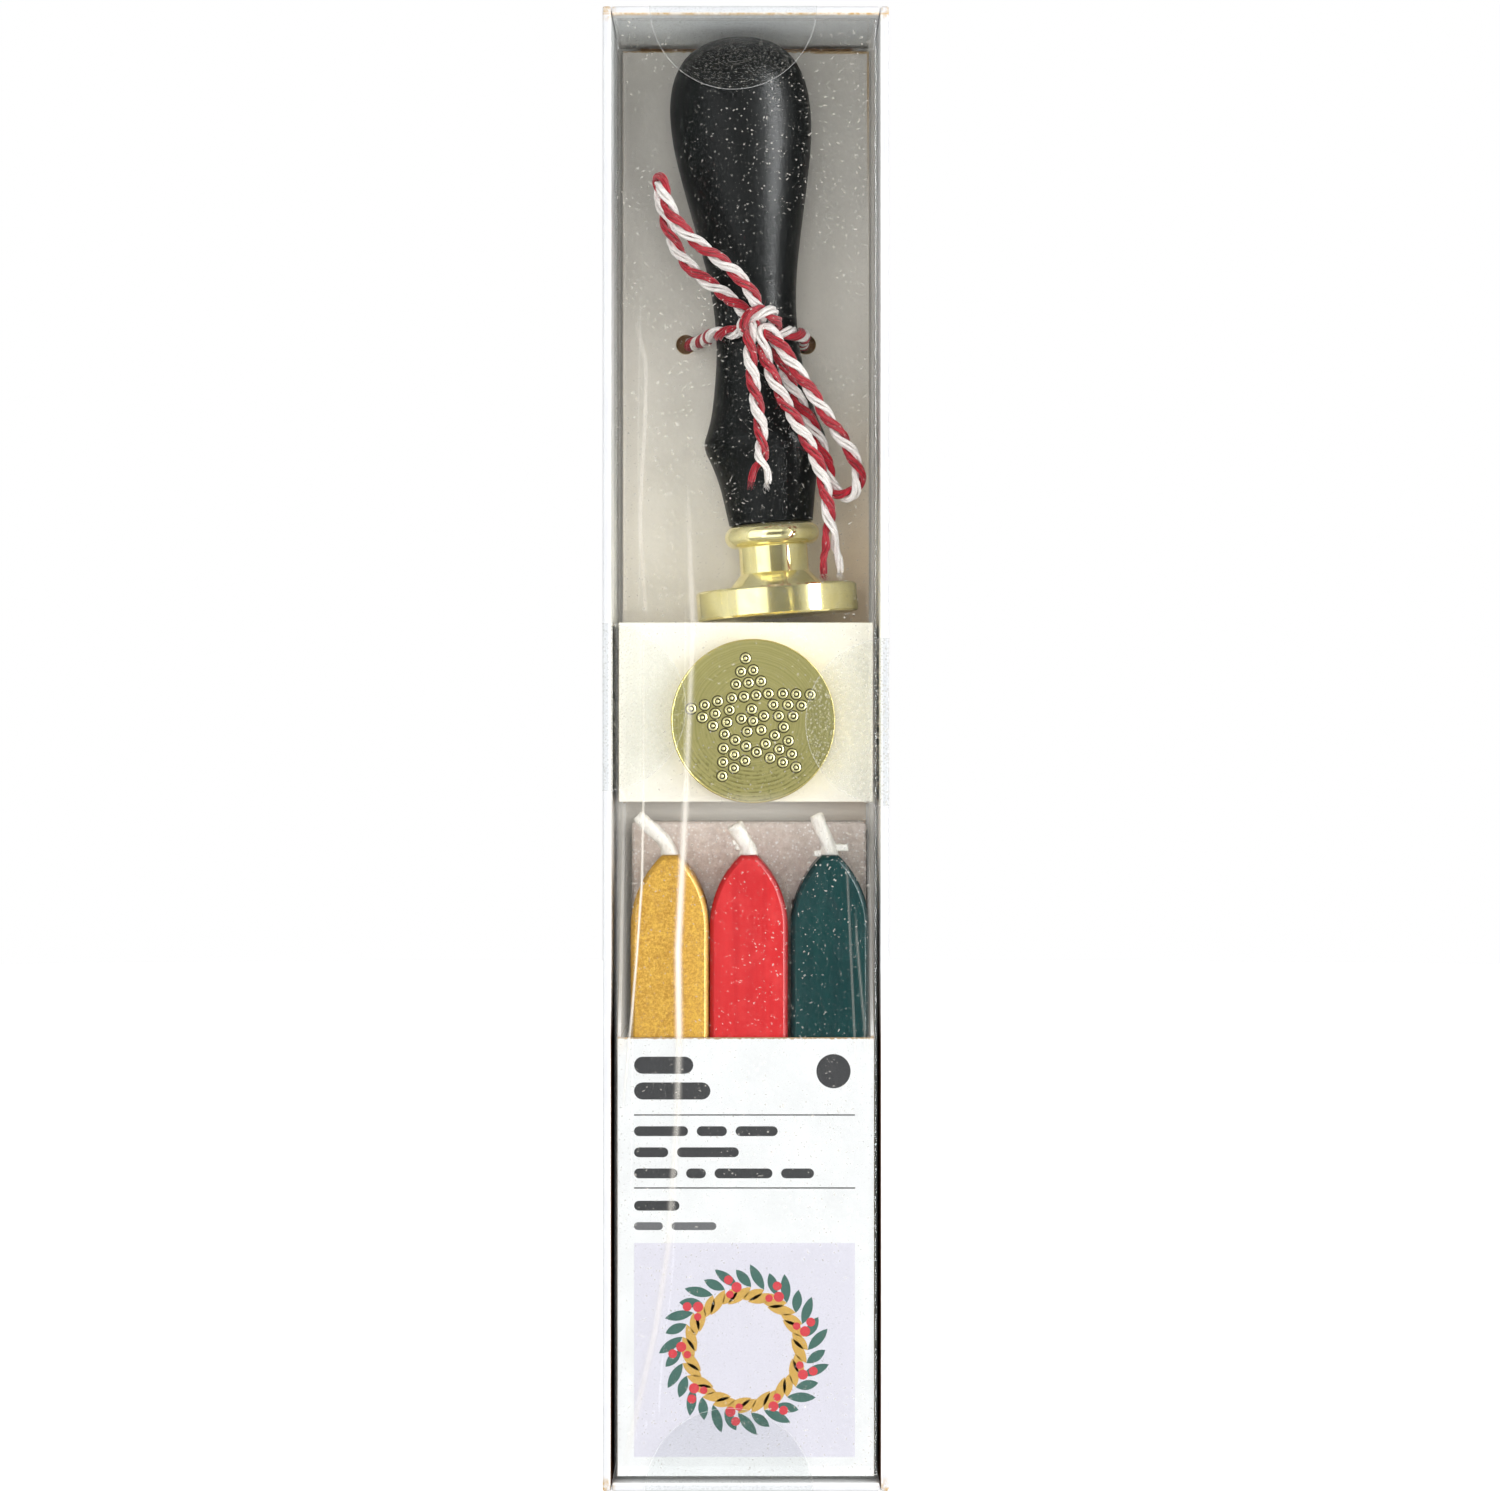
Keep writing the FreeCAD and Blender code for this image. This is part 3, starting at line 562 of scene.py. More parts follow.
def clear_sheet():
    """Clear sheet with faint ripples and specks of dust, painted reflections along its creases, painted
    light over the foam and down its sides, and grey lines painted along its folds and cut edge for the
    light they catch and bend.
    """
    s = Shader("clear_sheet_film")
    place = s.place()
    ripple = s.noise(s.place((1, 1, 0.06)), 180, 2, 0.5)
    swirl = s.node("TexNoise", {"Vector": place, "Scale": 320.0, "Detail": 3.0}).outputs["Color"]
    loose = s.vector("MULTIPLY_ADD", swirl, (3 * mm, 3 * mm, 3 * mm), place)
    speck = s.ranged(s.cells(loose, 1000), 0.17, 0.08)
    fine = s.times(s.ranged(s.cells(loose, 1700), 0.15, 0.07), 0.6)
    dust = s.times(s.most(speck, fine), s.ranged(s.noise(place, 60, 2), 0.32, 0.6, 0.1, 1.0))
    fold = s.attribute("fold")
    # Besides the dust, the attributes add painted reflections and painted light, and painted grey lines at
    # the folds and the cut edge.
    haze = s.plus(s.most(s.times(dust, 0.38), s.attribute("painted_light")), 0.0006)
    haze = s.most(haze, s.times(fold, 0.3))
    cloud = s.shades(fold, 0.0, 0.3, (253, 247, 236), (112, 120, 124))
    return s.done(see_through(s, s.relief((ripple, 0.3, 0.18)), haze, cloud, 0.035))


def seal_film(name, centre, radius, grain):
    """A round clear seal: glue that has not wetted leaves it finely speckled, and its cut rim is bright."""
    s = Shader(name)
    place = s.place()
    out = s.vector("DISTANCE", place, centre, output="Value")
    rim = s.ranged(out, radius - 0.1 * mm, radius - 0.04 * mm)
    bubble = s.ranged(s.cells(place, 2300), 0.44, 0.2)
    haze = s.maths("MULTIPLY_ADD", rim, 0.22, s.times(bubble, grain))
    cream = s.mix(rim, (238, 231, 212), (250, 250, 250))
    return s.done(see_through(s, s.relief((bubble, 0.006, 0.4)), haze, cream, 0.05, 0.0))


def ink(name, colour):
    """Printing ink: an even film with the paper's grain showing faintly through."""
    s = Shader(name)
    grain = s.noise(s.place(), 3000, 4, 0.6)
    shade = s.shades(grain, 0.35, 0.68, colour, [level + 8 for level in colour])
    return s.finish(shade, 0.5, s.relief((grain, 0.008, 0.5)))


def pale_floor():
    """The studio floor: pale, evenly lit from below as a light table is."""
    s = Shader("studio_floor")
    colour = s.shades(s.noise(s.place(), 40, 3, 0.6), 0.3, 0.7, (244, 244, 244), (250, 250, 250))
    return s.done(s.surface({
        "Base Color": colour, "Roughness": 0.7, "Emission Color": (1, 1, 1, 1), "Emission Strength": 0.9,
    }))


# Mesh building

class Build:
    """A mesh gathered from its vertices, faces, face marks and face UVs."""

    def __init__(self):
        self.verts = []
        self.faces = []
        self.marks = []
        self.uvs = []

    def add_face(self, corners, mark, uvs=None):
        self.faces.append(corners)
        self.marks.append(mark)
        self.uvs.append(uvs or [(0.0, 0.0)] * len(corners))

    def tube(self, rings, mark, lengths=None, turn=0.0):
        """Rings of points joined into a closed tube with its ends filled. A list marks band by band."""
        marks = mark if isinstance(mark, list) else [mark] * len(rings)
        start = len(self.verts)
        sides = len(rings[0])
        for ring in rings:
            self.verts.extend(ring)
        lengths = lengths or list(range(len(rings)))
        for step in range(len(rings) - 1):
            low, high = lengths[step], lengths[step + 1]
            near = start + step * sides
            far = near + sides
            for side in range(sides):
                after = (side + 1) % sides
                left = side / sides
                right = (side + 1) / sides
                uvs = [(left + turn * low, low), (right + turn * low, low),
                       (right + turn * high, high), (left + turn * high, high)]
                self.add_face([near + side, near + after, far + after, far + side], marks[step], uvs)
        self.add_face(list(range(start, start + sides))[::-1], marks[0])
        last = start + (len(rings) - 1) * sides
        self.add_face(list(range(last, last + sides)), marks[-1])

    def slab(self, outline, back, face, mark):
        """A thin closed film from a flat outline of (x, z), between two depths."""
        start = len(self.verts)
        count = len(outline)
        for depth in (face, back):
            self.verts.extend(Vector((x, depth, z)) for x, z in outline)
        self.add_face(list(range(start, start + count)), mark)
        self.add_face(list(range(start + count, start + 2 * count))[::-1], mark)
        for side in range(count):
            after = (side + 1) % count
            self.add_face([start + after, start + side, start + count + side, start + count + after], mark)

    def piece(self, name, materials, smooth=True):
        mesh = bpy.data.meshes.new(name)
        mesh.from_pydata(self.verts, [], self.faces)
        layer = mesh.uv_layers.new(name="along")
        for polygon, mark, uvs in zip(mesh.polygons, self.marks, self.uvs):
            polygon.material_index = mark
            polygon.use_smooth = smooth
            for loop, uv in zip(polygon.loop_indices, uvs):
                layer.data[loop].uv = uv
        for material in materials:
            mesh.materials.append(material)
        shaped = bmesh.new()
        shaped.from_mesh(mesh)
        bmesh.ops.recalc_face_normals(shaped, faces=shaped.faces)
        shaped.to_mesh(mesh)
        shaped.free()
        return linked(name, mesh)


def linked(name, data):
    """An object in the scene, from its data."""
    made = bpy.data.objects.new(name, data)
    scene.collection.objects.link(made)
    return made


def plain(axis, end):
    """Every face of a block has its first material."""
    return 0


def circle(count):
    """Directions all round, as cosine and sine."""
    turns = [math.tau * step / count for step in range(count)]
    return [(math.cos(turn), math.sin(turn)) for turn in turns]


def ring_round(centre, side, other, radius, sides):
    """Points round a centre, in the plane of two directions."""
    return [centre + (side * across + other * up) * radius for across, up in circle(sides)]


def steps_between(low, high, step, radius):
    """Grid places along one edge of a rounded block: close together where it curves."""
    shares = (0.0, 0.12, 0.32, 0.6, 1.0)
    near = [low + radius * share for share in shares]
    far = [high - radius * share for share in reversed(shares)]
    count = max(1, round((far[0] - near[-1]) / step))
    between = [near[-1] + (far[0] - near[-1]) * i / count for i in range(1, count)]
    return near + between + far


def rounded_block(build, low, high, radius, step, mark, shift=None, open_back=False):
    """A block with rounded edges on a grid: shift() may move its points, mark() picks a face's material."""
    axes = [steps_between(low[i], high[i], step[i], radius) for i in range(3)]
    seen = {}

    def vertex(index):
        if index not in seen:
            corner = Vector([axes[i][index[i]] for i in range(3)])
            inner = Vector([min(max(corner[i], low[i] + radius), high[i] - radius) for i in range(3)])
            out = corner - inner
            if open_back and inner.y > high[1] - 2 * radius:
                out.y = 0.0
                inner.y = corner.y
            point = inner + out.normalized() * radius if out.length > 0 else corner
            if shift:
                point = point + shift(point)
            seen[index] = len(build.verts)
            build.verts.append(point)
        return seen[index]

    for axis in range(3):
        first, second = [i for i in range(3) if i != axis]
        for end in (0, len(axes[axis]) - 1):
            if open_back and axis == 1 and end:
                continue
            for a in range(len(axes[first]) - 1):
                for b in range(len(axes[second]) - 1):
                    corners = []
                    for da, db in ((0, 0), (1, 0), (1, 1), (0, 1)):
                        index = [0, 0, 0]
                        index[axis] = end
                        index[first] = a + da
                        index[second] = b + db
                        corners.append(vertex(tuple(index)))
                    build.add_face(corners, mark(axis, end))


def smooth_line(name, points):
    """A cord's line: a NURBS spline with the route's points as its control points, read back as points."""
    data = bpy.data.curves.new(name, "CURVE")
    data.dimensions = "3D"
    spline = data.splines.new("NURBS")
    spline.points.add(len(points) - 1)
    for made, point in zip(spline.points, points):
        made.co = (*point, 1.0)
    spline.order_u = 3
    spline.use_endpoint_u = True
    spline.resolution_u = 10
    holder = linked(name, data)
    mesh = bpy.data.meshes.new_from_object(holder)
    line = [vertex.co.copy() for vertex in mesh.vertices]
    bpy.data.objects.remove(holder)
    bpy.data.curves.remove(data)
    bpy.data.meshes.remove(mesh)
    return line


def frames_along(line):
    """At each point of a line, its direction and two directions across it that do not twist."""
    frames = []
    side = None
    for i in range(len(line)):
        ahead = line[min(i + 1, len(line) - 1)] - line[max(i - 1, 0)]
        ahead.normalize()
        if side is None:
            side = ahead.orthogonal().normalized()
        side = (side - ahead * side.dot(ahead)).normalized()
        frames.append((ahead, side, ahead.cross(side)))
    return frames


def lengths_along(line):
    total = [0.0]
    for before, after in zip(line, line[1:]):
        total.append(total[-1] + (after - before).length)
    return total


def smooth_share(value):
    value = min(1.0, max(0.0, value))
    return value * value * (3 - 2 * value)


# The twine

class Lay:
    """How the twine lies: its line, and at each point its frame, its length and its plies' turn."""

    def __init__(self, line):
        self.line = line
        self.frames = frames_along(line)
        self.lengths = lengths_along(line)
        self.turned = [first_turn]
        for i in range(1, len(line)):
            tied = (line[i].y - front) / mm > tied_depth
            pitch = tied_pitch if tied else loose_pitch
            step = self.lengths[i] - self.lengths[i - 1]
            self.turned.append(self.turned[-1] + math.tau * step / (pitch * mm))

    def end_share(self, i, part=1.0):
        """How far the twine has come apart at a point: not at all along it, and wholly at its free ends."""
        from_start = self.lengths[i] / (short_fray * part * mm)
        from_end = (self.lengths[-1] - self.lengths[i]) / (long_fray * part * mm)
        return smooth_share(1 - min(from_start, from_end))

    def ply_centre(self, i, ply):
        """The middle of a ply at a point: it winds, and at the free ends the plies part."""
        ahead, side, other = self.frames[i]
        angle = -self.turned[i] + math.pi * ply
        winding = side * math.cos(angle) + other * math.sin(angle)
        fray = self.end_share(i)
        across = Vector((1, 0, 0)) * (1 if ply else -1)
        across = across - ahead * across.dot(ahead)
        direction = winding.lerp(across.normalized(), fray)
        if direction.length < 0.2:
            direction = across
        direction.normalize()
        return self.line[i] + direction * (ply_offset + ply_parting * fray) * mm, direction

    def yarn_rings(self, ply, strand):
        """One yarn of a ply: rings round its winding middle."""
        rings = []
        for i, (ahead, side, other) in enumerate(self.frames):
            length = self.lengths[i]
            centre, outward = self.ply_centre(i, ply)
            angle = self.turned[i] * yarn_turn + math.tau * strand / yarns + ply
            across = ahead.cross(outward)
            swing = outward * math.cos(angle) * yarn_out + across * math.sin(angle) * yarn_across
            loosened = 1 + 0.4 * self.end_share(i, 0.5)
            lump = noise.noise(Vector((length * yarn_lump_scale, ply * 7 + strand * 3, 0.5)))
            radius = yarn_radius * (1 + yarn_lump * lump) * mm
            to_end = min(length, self.lengths[-1] - length)
            if to_end < mm:
                radius *= 0.55 + 0.45 * to_end / mm
            rings.append(ring_round(centre + swing * loosened * mm, side, other, radius, yarn_sides))
        return rings


def loose_fibre(build, start, out, along, length, radius, mark, seed):
    """One stray cotton fibre: a thin curved hair."""
    rings = []
    across = out.cross(along).normalized()
    for step in range(5):
        share = step / 4
        bend = along * math.sin(share * 2.2 + seed) * 0.45 + out * share
        sway = noise.noise_vector(Vector((seed * 9.1, share * 2, 0.3))) * 0.25 * share
        centre = start + (bend + sway) * length
        rings.append(ring_round(centre, across, along, radius * (1 - 0.6 * share), 3))
    build.tube(rings, mark)


def add_fibres(build, lay, dice):
    for _ in range(loose_fibres):
        i = dice.randrange(4, len(lay.line) - 4)
        ply = dice.randrange(2)
        ahead, side, other = lay.frames[i]
        centre = lay.ply_centre(i, ply)[0]
        turn = dice.uniform(0, math.tau)
        out = (side * math.cos(turn) + other * math.sin(turn)).normalized()
        start = centre + out * fibre_root * mm
        along = ahead * dice.choice((-1, 1))
        length = dice.uniform(*fibre_length) * mm
        radius = dice.uniform(*fibre_radius) * mm
        loose_fibre(build, start, out, along, length, radius, ply, dice.random() * 3)


def add_end_tufts(build, lay, dice):
    """The cut ends: each yarn spreads into a small brush."""
    for i in (0, len(lay.line) - 1):
        ahead = lay.frames[i][0] * (1 if i else -1)
        for ply in range(2):
            centre = lay.ply_centre(i, ply)[0]
            for _ in range(tuft_fibres):
                sway = Vector((dice.uniform(-1, 1), dice.uniform(-1, 1), dice.uniform(-1, 1))) * tuft_spread
                out = (ahead + sway).normalized()
                along = out.orthogonal().normalized()
                start = centre + Vector((dice.uniform(-1, 1), dice.uniform(-1, 1), 0)) * tuft_root * mm
                length = dice.uniform(*tuft_length) * mm
                loose_fibre(build, start, out, along, length, tuft_radius * mm, ply, dice.random() * 3)


def make_twine(red, white):
    route = short_tail + upper_bow + tie + knot_wrap + lower_bow + long_tail
    line = smooth_line("twine_line", [spot(*point) for point in route])
    lay = Lay(line)
    lengths = lay.lengths
    build = Build()
    repeats = [length / (yarn_repeat * mm) for length in lengths]
    for ply in range(2):
        for strand in range(yarns):
            build.tube(lay.yarn_rings(ply, strand), ply, repeats, yarn_slant)
    dice = random.Random(twine_seed)
    add_fibres(build, lay, dice)
    add_end_tufts(build, lay, dice)
    twine = build.piece("twine", [red, white])
    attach(twine, "box")
    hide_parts("twine_tie", "twine_knot", "twine_bow_upper", "twine_bow_lower",
                "twine_tail_long", "twine_tail_short")


# The tray, the cover and the foam

# How far the board and the sticks wave, in millimetres.
board_shift = 0.015
board_depth = 0.06
stick_wave = 0.035


def board_wave(point):
    """Folded board is never quite flat: a slow wave of less than a tenth of a millimetre, inwards."""
    wave = noise.noise(Vector((point.x * 25, point.y * 30, point.z * 22))) * 0.5 + 0.5
    depth = (board_shift + board_depth * wave) * mm
    near_wall = (wall + 0.2) * mm
    inward = Vector((0, 0, 0))
    if abs(point.x) > tray_high.x - near_wall:
        inward.x = -math.copysign(depth, point.x)
    if abs(point.z - middle_height) > middle_height - near_wall:
        inward.z = -math.copysign(depth, point.z - middle_height)
    return inward


def floor_mark(axis, end):
    """The base board is brown on its inner face."""
    return 1 if axis == 1 and end == 0 else 0


def make_tray(white, brown):
    build = Build()
    inside = tray_high.y - base_board * mm
    left_in = tray_low.x + wall * mm
    right_in = tray_high.x - wall * mm
    low_in = tray_low.z + wall * mm
    high_in = tray_high.z - wall * mm
    for low_x, high_x in ((tray_low.x, left_in), (right_in, tray_high.x)):
        rounded_block(build, (low_x, front + rim_drop * mm, tray_low.z), (high_x, tray_high.y, tray_high.z),
                      wall_round * mm, (0.4 * mm, 3 * mm, 2.5 * mm), plain, board_wave)
    slit = corner_slit * mm
    for low_z, high_z in ((tray_low.z, low_in), (high_in, tray_high.z)):
        rounded_block(build, (left_in + slit, front + end_rim_drop * mm, low_z),
                      (right_in - slit, tray_high.y, high_z),
                      wall_round * mm, (2 * mm, 3 * mm, 0.4 * mm), plain, board_wave)
    rounded_block(build, (left_in, inside, low_in), (right_in, tray_high.y, high_in),
                  0.2 * mm, (3 * mm, 1 * mm, 4 * mm), floor_mark)
    tray = build.piece("outer_tray_board", [white, brown])
    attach(tray, "box")
    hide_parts("outer_tray")


# Creases in the clear sheet: how deep and wide, in millimetres, and where they run (across, up).
creases = [
    (0.07, 0.30, [(-9.4, 140.0), (-9.6, 110.0), (-10.3, 66.0), (-11.2, 38.0), (-13.4, 12.0), (-19.0, 3.0)]),
    (0.05, 0.22, [(-15.8, 106.0), (-16.8, 90.0), (-17.4, 68.0), (-17.6, 40.0)]),
    (0.06, 0.35, [(-16.2, 186.0), (-16.6, 160.0), (-16.4, 138.0), (-17.0, 128.0)]),
    (0.04, 0.25, [(15.6, 220.0), (16.0, 180.0), (16.9, 120.0), (17.6, 70.0)]),
    (0.04, 0.22, [(17.9, 205.0), (18.2, 130.0), (18.3, 60.0), (18.0, 8.0)]),
]
crease_fade = 8.0
sheet_bow = 0.05
# How wide and how strong the grey lines painted along the sheet's folds are.
fold_width = 0.3
painted_fold_line_strength = 0.35


def crease_place(run, z):
    """How far across a crease is at a height, and how strong it still is there."""
    if z > run[0][1] or z < run[-1][1]:
        return None
    for (x_above, z_above), (x_below, z_below) in zip(run, run[1:]):
        if z >= z_below:
            share = smooth_share((z_above - z) / (z_above - z_below))
            across = x_above + (x_below - x_above) * share
            break
    fade = min(1.0, (run[0][1] - z) / crease_fade, (z - run[-1][1]) / crease_fade)
    return across, smooth_share(fade)


def sheet_wave(point):
    """The clear sheet's shape: creases and a slow bow, inwards from its flat front."""
    if point.y > front + fold_round * mm:
        return Vector((0, 0, 0))
    x, z = point.x / mm, point.z / mm
    edge = min(1.0, (cover_high.x / mm - abs(x)) / 2.0)
    depth = 0.0
    for deep, wide, run in creases:
        found = crease_place(run, z)
        if found:
            depth += deep * found[1] * math.exp(-((x - found[0]) / wide) ** 2)
    slow = noise.noise(Vector((x * 0.05, z * 0.012, 3.1))) * 0.5 + 0.5
    return Vector((0, (depth + sheet_bow * slow) * max(0.0, edge) * mm, 0))


# Where light is painted on the sheet: half width in millimetres, then across, up and strength along each
# run.
# First painted reflections in its bends, then a broad patch of painted light over the shadowed foam below
# the platform, and a painted reflection down each side.
painted_light_runs = [
    (0.14, [(-15.5, 131.0, 0.1), (-15.5, 104.5, 0.3), (-15.75, 92.2, 0.55), (-16.56, 80.6, 0.6),
            (-17.3, 72.0, 0.5), (-17.6, 68.9, 0.4), (-18.8, 56.0, 0.0)]),
    (0.42, [(-8.75, 152.5, 0.0), (-8.45, 141.2, 0.14), (-8.0, 131.3, 0.2), (-8.75, 113.9, 0.24),
            (-9.2, 102.5, 0.3), (-9.66, 94.2, 0.5), (-10.27, 82.1, 0.66), (-10.1, 69.4, 0.6),
            (-10.12, 67.5, 0.24), (-10.4, 56.3, 0.18), (-11.8, 36.6, 0.15), (-13.7, 24.5, 0.15),
            (-16.8, 10.9, 0.12), (-18.8, 2.5, 0.0)]),
    (0.3, [(-17.4, 180.0, 0.0), (-15.9, 174.2, 0.09), (-15.1, 171.0, 0.1), (-15.3, 161.4, 0.12),
           (-15.9, 151.8, 0.12), (-16.0, 145.4, 0.1), (-15.1, 132.7, 0.05)]),
    (0.12, [(15.2, 97.0, 0.0), (15.4, 93.0, 0.09), (16.5, 68.9, 0.1), (16.9, 60.0, 0.0)]),
    (0.12, [(16.6, 88.0, 0.0), (16.8, 84.0, 0.12), (18.0, 70.4, 0.1), (18.3, 64.0, 0.0)]),
    (26.0, [(0.0, 104.9, 0.0), (0.0, 104.2, 0.18), (0.0, 102.4, 0.13), (0.0, 100.6, 0.02),
            (0.0, 97.0, 0.0)]),
    (0.5, [(19.1, 221.0, 0.06), (19.1, 104.0, 0.1), (19.1, 68.0, 0.1), (19.1, 66.0, 0.0)]),
    (0.7, [(-18.7, 221.0, 0.02), (-18.7, 108.0, 0.07), (-18.8, 100.0, 0.16), (-18.9, 67.6, 0.2),
           (-18.9, 66.0, 0.0)]),
]
strongest_painted_light = 0.8


def painted_light_at(point):
    """How strong the painted light is at a point of the sheet's front."""
    if point.y > front + fold_round * mm:
        return 0.0
    x, z = point.x / mm, point.z / mm
    total = 0.0
    for half, run in painted_light_runs:
        for (x_above, z_above, above), (x_below, z_below, below) in zip(run, run[1:]):
            if z_below <= z < z_above:
                share = (z_above - z) / (z_above - z_below)
                across = x_above + (x_below - x_above) * share
                strength = above + (below - above) * share
                total += strength * math.exp(-((x - across) / half) ** 2)
    return min(total, strongest_painted_light)


def painted_edge_line_at(point):
    """How strongly grey lines are painted at a point of the cover, for the light caught and bent at its
    folds and the cut edge of its skirt: from how near the point is to them.
    """
    from_front = point.y - cover_low.y
    from_side = min(point.x - cover_low.x, cover_high.x - point.x)
    from_end = min(point.z - cover_low.z, cover_high.z - point.z)
    to_fold = sorted((from_front, from_side, from_end))[1]
    near_fold, near_cut = (smooth_share(1.5 - away / (fold_width * mm))
                           for away in (to_fold, skirt_back - point.y))
    return max(painted_fold_line_strength * near_fold, near_cut)


def make_cover(clear):
    build = Build()
    rounded_block(build, cover_low, (cover_high.x, skirt_back, cover_high.z),
                  fold_round * mm, (0.16 * mm, 3 * mm, 1.6 * mm), plain, sheet_wave, True)
    cover = build.piece("clear_cover", [clear])
    # Per-point marks that the sheet's material reads: where it paints reflections and light, and where it
    # paints grey lines at folds and the cut edge.
    for name, value_at in (("painted_light", painted_light_at), ("fold", painted_edge_line_at)):
        marks = cover.data.attributes.new(name, "FLOAT", "POINT")
        for vertex, mark in zip(cover.data.vertices, marks.data):
            mark.value = value_at(vertex.co)
    thick = cover.modifiers.new("sheet", "SOLIDIFY")
    thick.thickness = sheet * mm
    thick.offset = -1.0
    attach(cover, "cover")
    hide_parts("cover_window", "cover_side_left", "cover_side_right", "cover_end_top",
                "cover_end_bottom")


# The foam's edges and pits, and the slit in it beside the green stick, in millimetres.
foam_round = 0.7
coarse_pit = 0.14
fine_pit = 0.1
slit_left = 7.3
slit_right = 8.7
slit_top = 89.7
slit_depth = 11.0


def foam_pits(point):
    """Foam: small pits all over its faces, inwards."""
    coarse = noise.noise(point * 900) * 0.5 + 0.5
    fine = noise.noise(point * 2300) * 0.5 + 0.5
    depth = (coarse_pit * coarse + fine_pit * fine) * mm
    half = (foam_high - foam_low) / 2
    off = point - (foam_low + foam_high) / 2
    inward = Vector((0, 0, 0))
    for axis in range(3):
        if abs(off[axis]) > half[axis] - 0.3 * mm:
            inward[axis] = -math.copysign(depth, off[axis])
    in_slit = slit_left * mm < point.x < slit_right * mm and point.z < slit_top * mm
    if in_slit and point.y < foam_low.y + 0.8 * mm:
        inward.y += slit_depth * mm
    return inward


def make_foam(material):
    build = Build()
    rounded_block(build, foam_low, foam_high, foam_round * mm, (0.55 * mm, 0.9 * mm, 0.55 * mm),
                  plain, foam_pits)
    pad = build.piece("foam_block", [material])
    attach(pad, "box")
    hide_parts("foam_pad")


# Wax sticks and the spare die

def arch_outline(low, high):
    """A stick's outline seen from the front: square foot, straight sides and a pointed arch."""
    middle = (low.x + high.x) / 2
    half = (high.x - low.x) / 2
    rise = arch_height * mm
    run = half - apex_width / 2 * mm
    radius = (run ** 2 + rise ** 2) / (2 * run)
    shoulder = high.z - rise
    sweep = math.atan2(rise, radius - run)
    right = [(half, low.z), (half, low.z + (shoulder - low.z) * 0.5)]
    for step in range(15):
        turn = sweep * step / 14
        right.append((half - radius + radius * math.cos(turn), shoulder + radius * math.sin(turn)))
    left = [(-x, z) for x, z in reversed(right)]
    return [(middle + x, z) for x, z in right + left]


def inset(outline, distance):
    """An outline drawn in by a distance, corner by corner."""
    count = len(outline)
    drawn = []
    for i in range(count):
        before, here, after = (Vector(outline[(i + step) % count]) for step in (-1, 0, 1))
        into = (here - before).normalized()
        out = (after - here).normalized()
        first = Vector((-into.y, into.x))
        second = Vector((-out.y, out.x))
        mitre = first + second
        drawn.append(here + mitre * (distance / max(0.5, 1 + first.dot(second))))
    return [(point.x, point.y) for point in drawn]


# A stick's section: how deep, and how far in from its outline, in millimetres.
stick_section = [
    (0.0, 0.8), (0.03, 0.68), (0.09, 0.58), (0.34, 0.32), (0.58, 0.08), (0.7, 0.02), (0.9, 0.0),
    (4.5, 0.0), (8.0, 0.0), (11.55, 0.0), (11.8, 0.08), (11.9, 0.3),
]


def make_stick(colour, material):
    name = "wax_stick_" + colour
    low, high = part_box(name)
    outline = arch_outline(low, high)
    rings = []
    for depth, drawn in stick_section:
        ring = []
        for x, z in inset(outline, drawn * mm):
            sway = noise.noise(Vector((x * 160, depth * 0.2, z * 70))) * stick_wave * mm
            ring.append(Vector((x + sway * (depth > 0.5), low.y + depth * mm, z)))
        rings.append(ring)
    build = Build()
    build.tube(rings, 0)
    stick = build.piece(name + "_cast", [material])
    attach(stick, colour + "_stick")
    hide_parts(name)


def star_places():
    """The star's dots, across and up from the middle of the die."""
    places = [(0.0, 0.0)]
    for arm in range(5):
        turn = math.radians(90 + star_lean + 72 * arm)
        between = turn + math.radians(36)
        out = star_corner * star_radius
        places.append((out * math.cos(between), out * math.sin(between)))
        for share, shifts in star_rows:
            for shift in shifts:
                out = share * star_radius
                across = shift * star_step
                places.append((out * math.cos(turn) - across * math.sin(turn),
                               out * math.sin(turn) + across * math.cos(turn)))
    return places


# A ringed dot's section, in millimetres: how far out and how high, and which brass each band inside it
# gets, 1 painted shade and 2 painted highlight.
dot_section = [
    (0.93, -0.01, 1), (0.92, 0.006, 1), (0.74, 0.01, 2), (0.7, 0.05, 2), (0.63, 0.12, 2), (0.56, 0.15, 2),
    (0.48, 0.13, 1), (0.42, 0.07, 1), (0.36, 0.03, 1), (0.25, 0.02, 2), (0.2, 0.04, 2), (0.12, 0.09, 2),
    (0.02, 0.1, 2),
]
dot_sides = 28


def flat_ring(x, depth, z, radius, sides):
    """Points round a place, in a plane that faces the front."""
    return [Vector((x + radius * across, depth, z + radius * up)) for across, up in circle(sides)]


def add_dot(build, x, z, level):
    """One ringed dot: a moat in painted shade, a raised ring in painted highlight, a dimple in painted
    shade and a small peak in painted highlight in its middle.
    """
    rings = [flat_ring(x, level - rise * mm, z, out * mm, dot_sides) for out, rise, _ in dot_section]
    build.tube(rings, [mark for _, _, mark in dot_section])


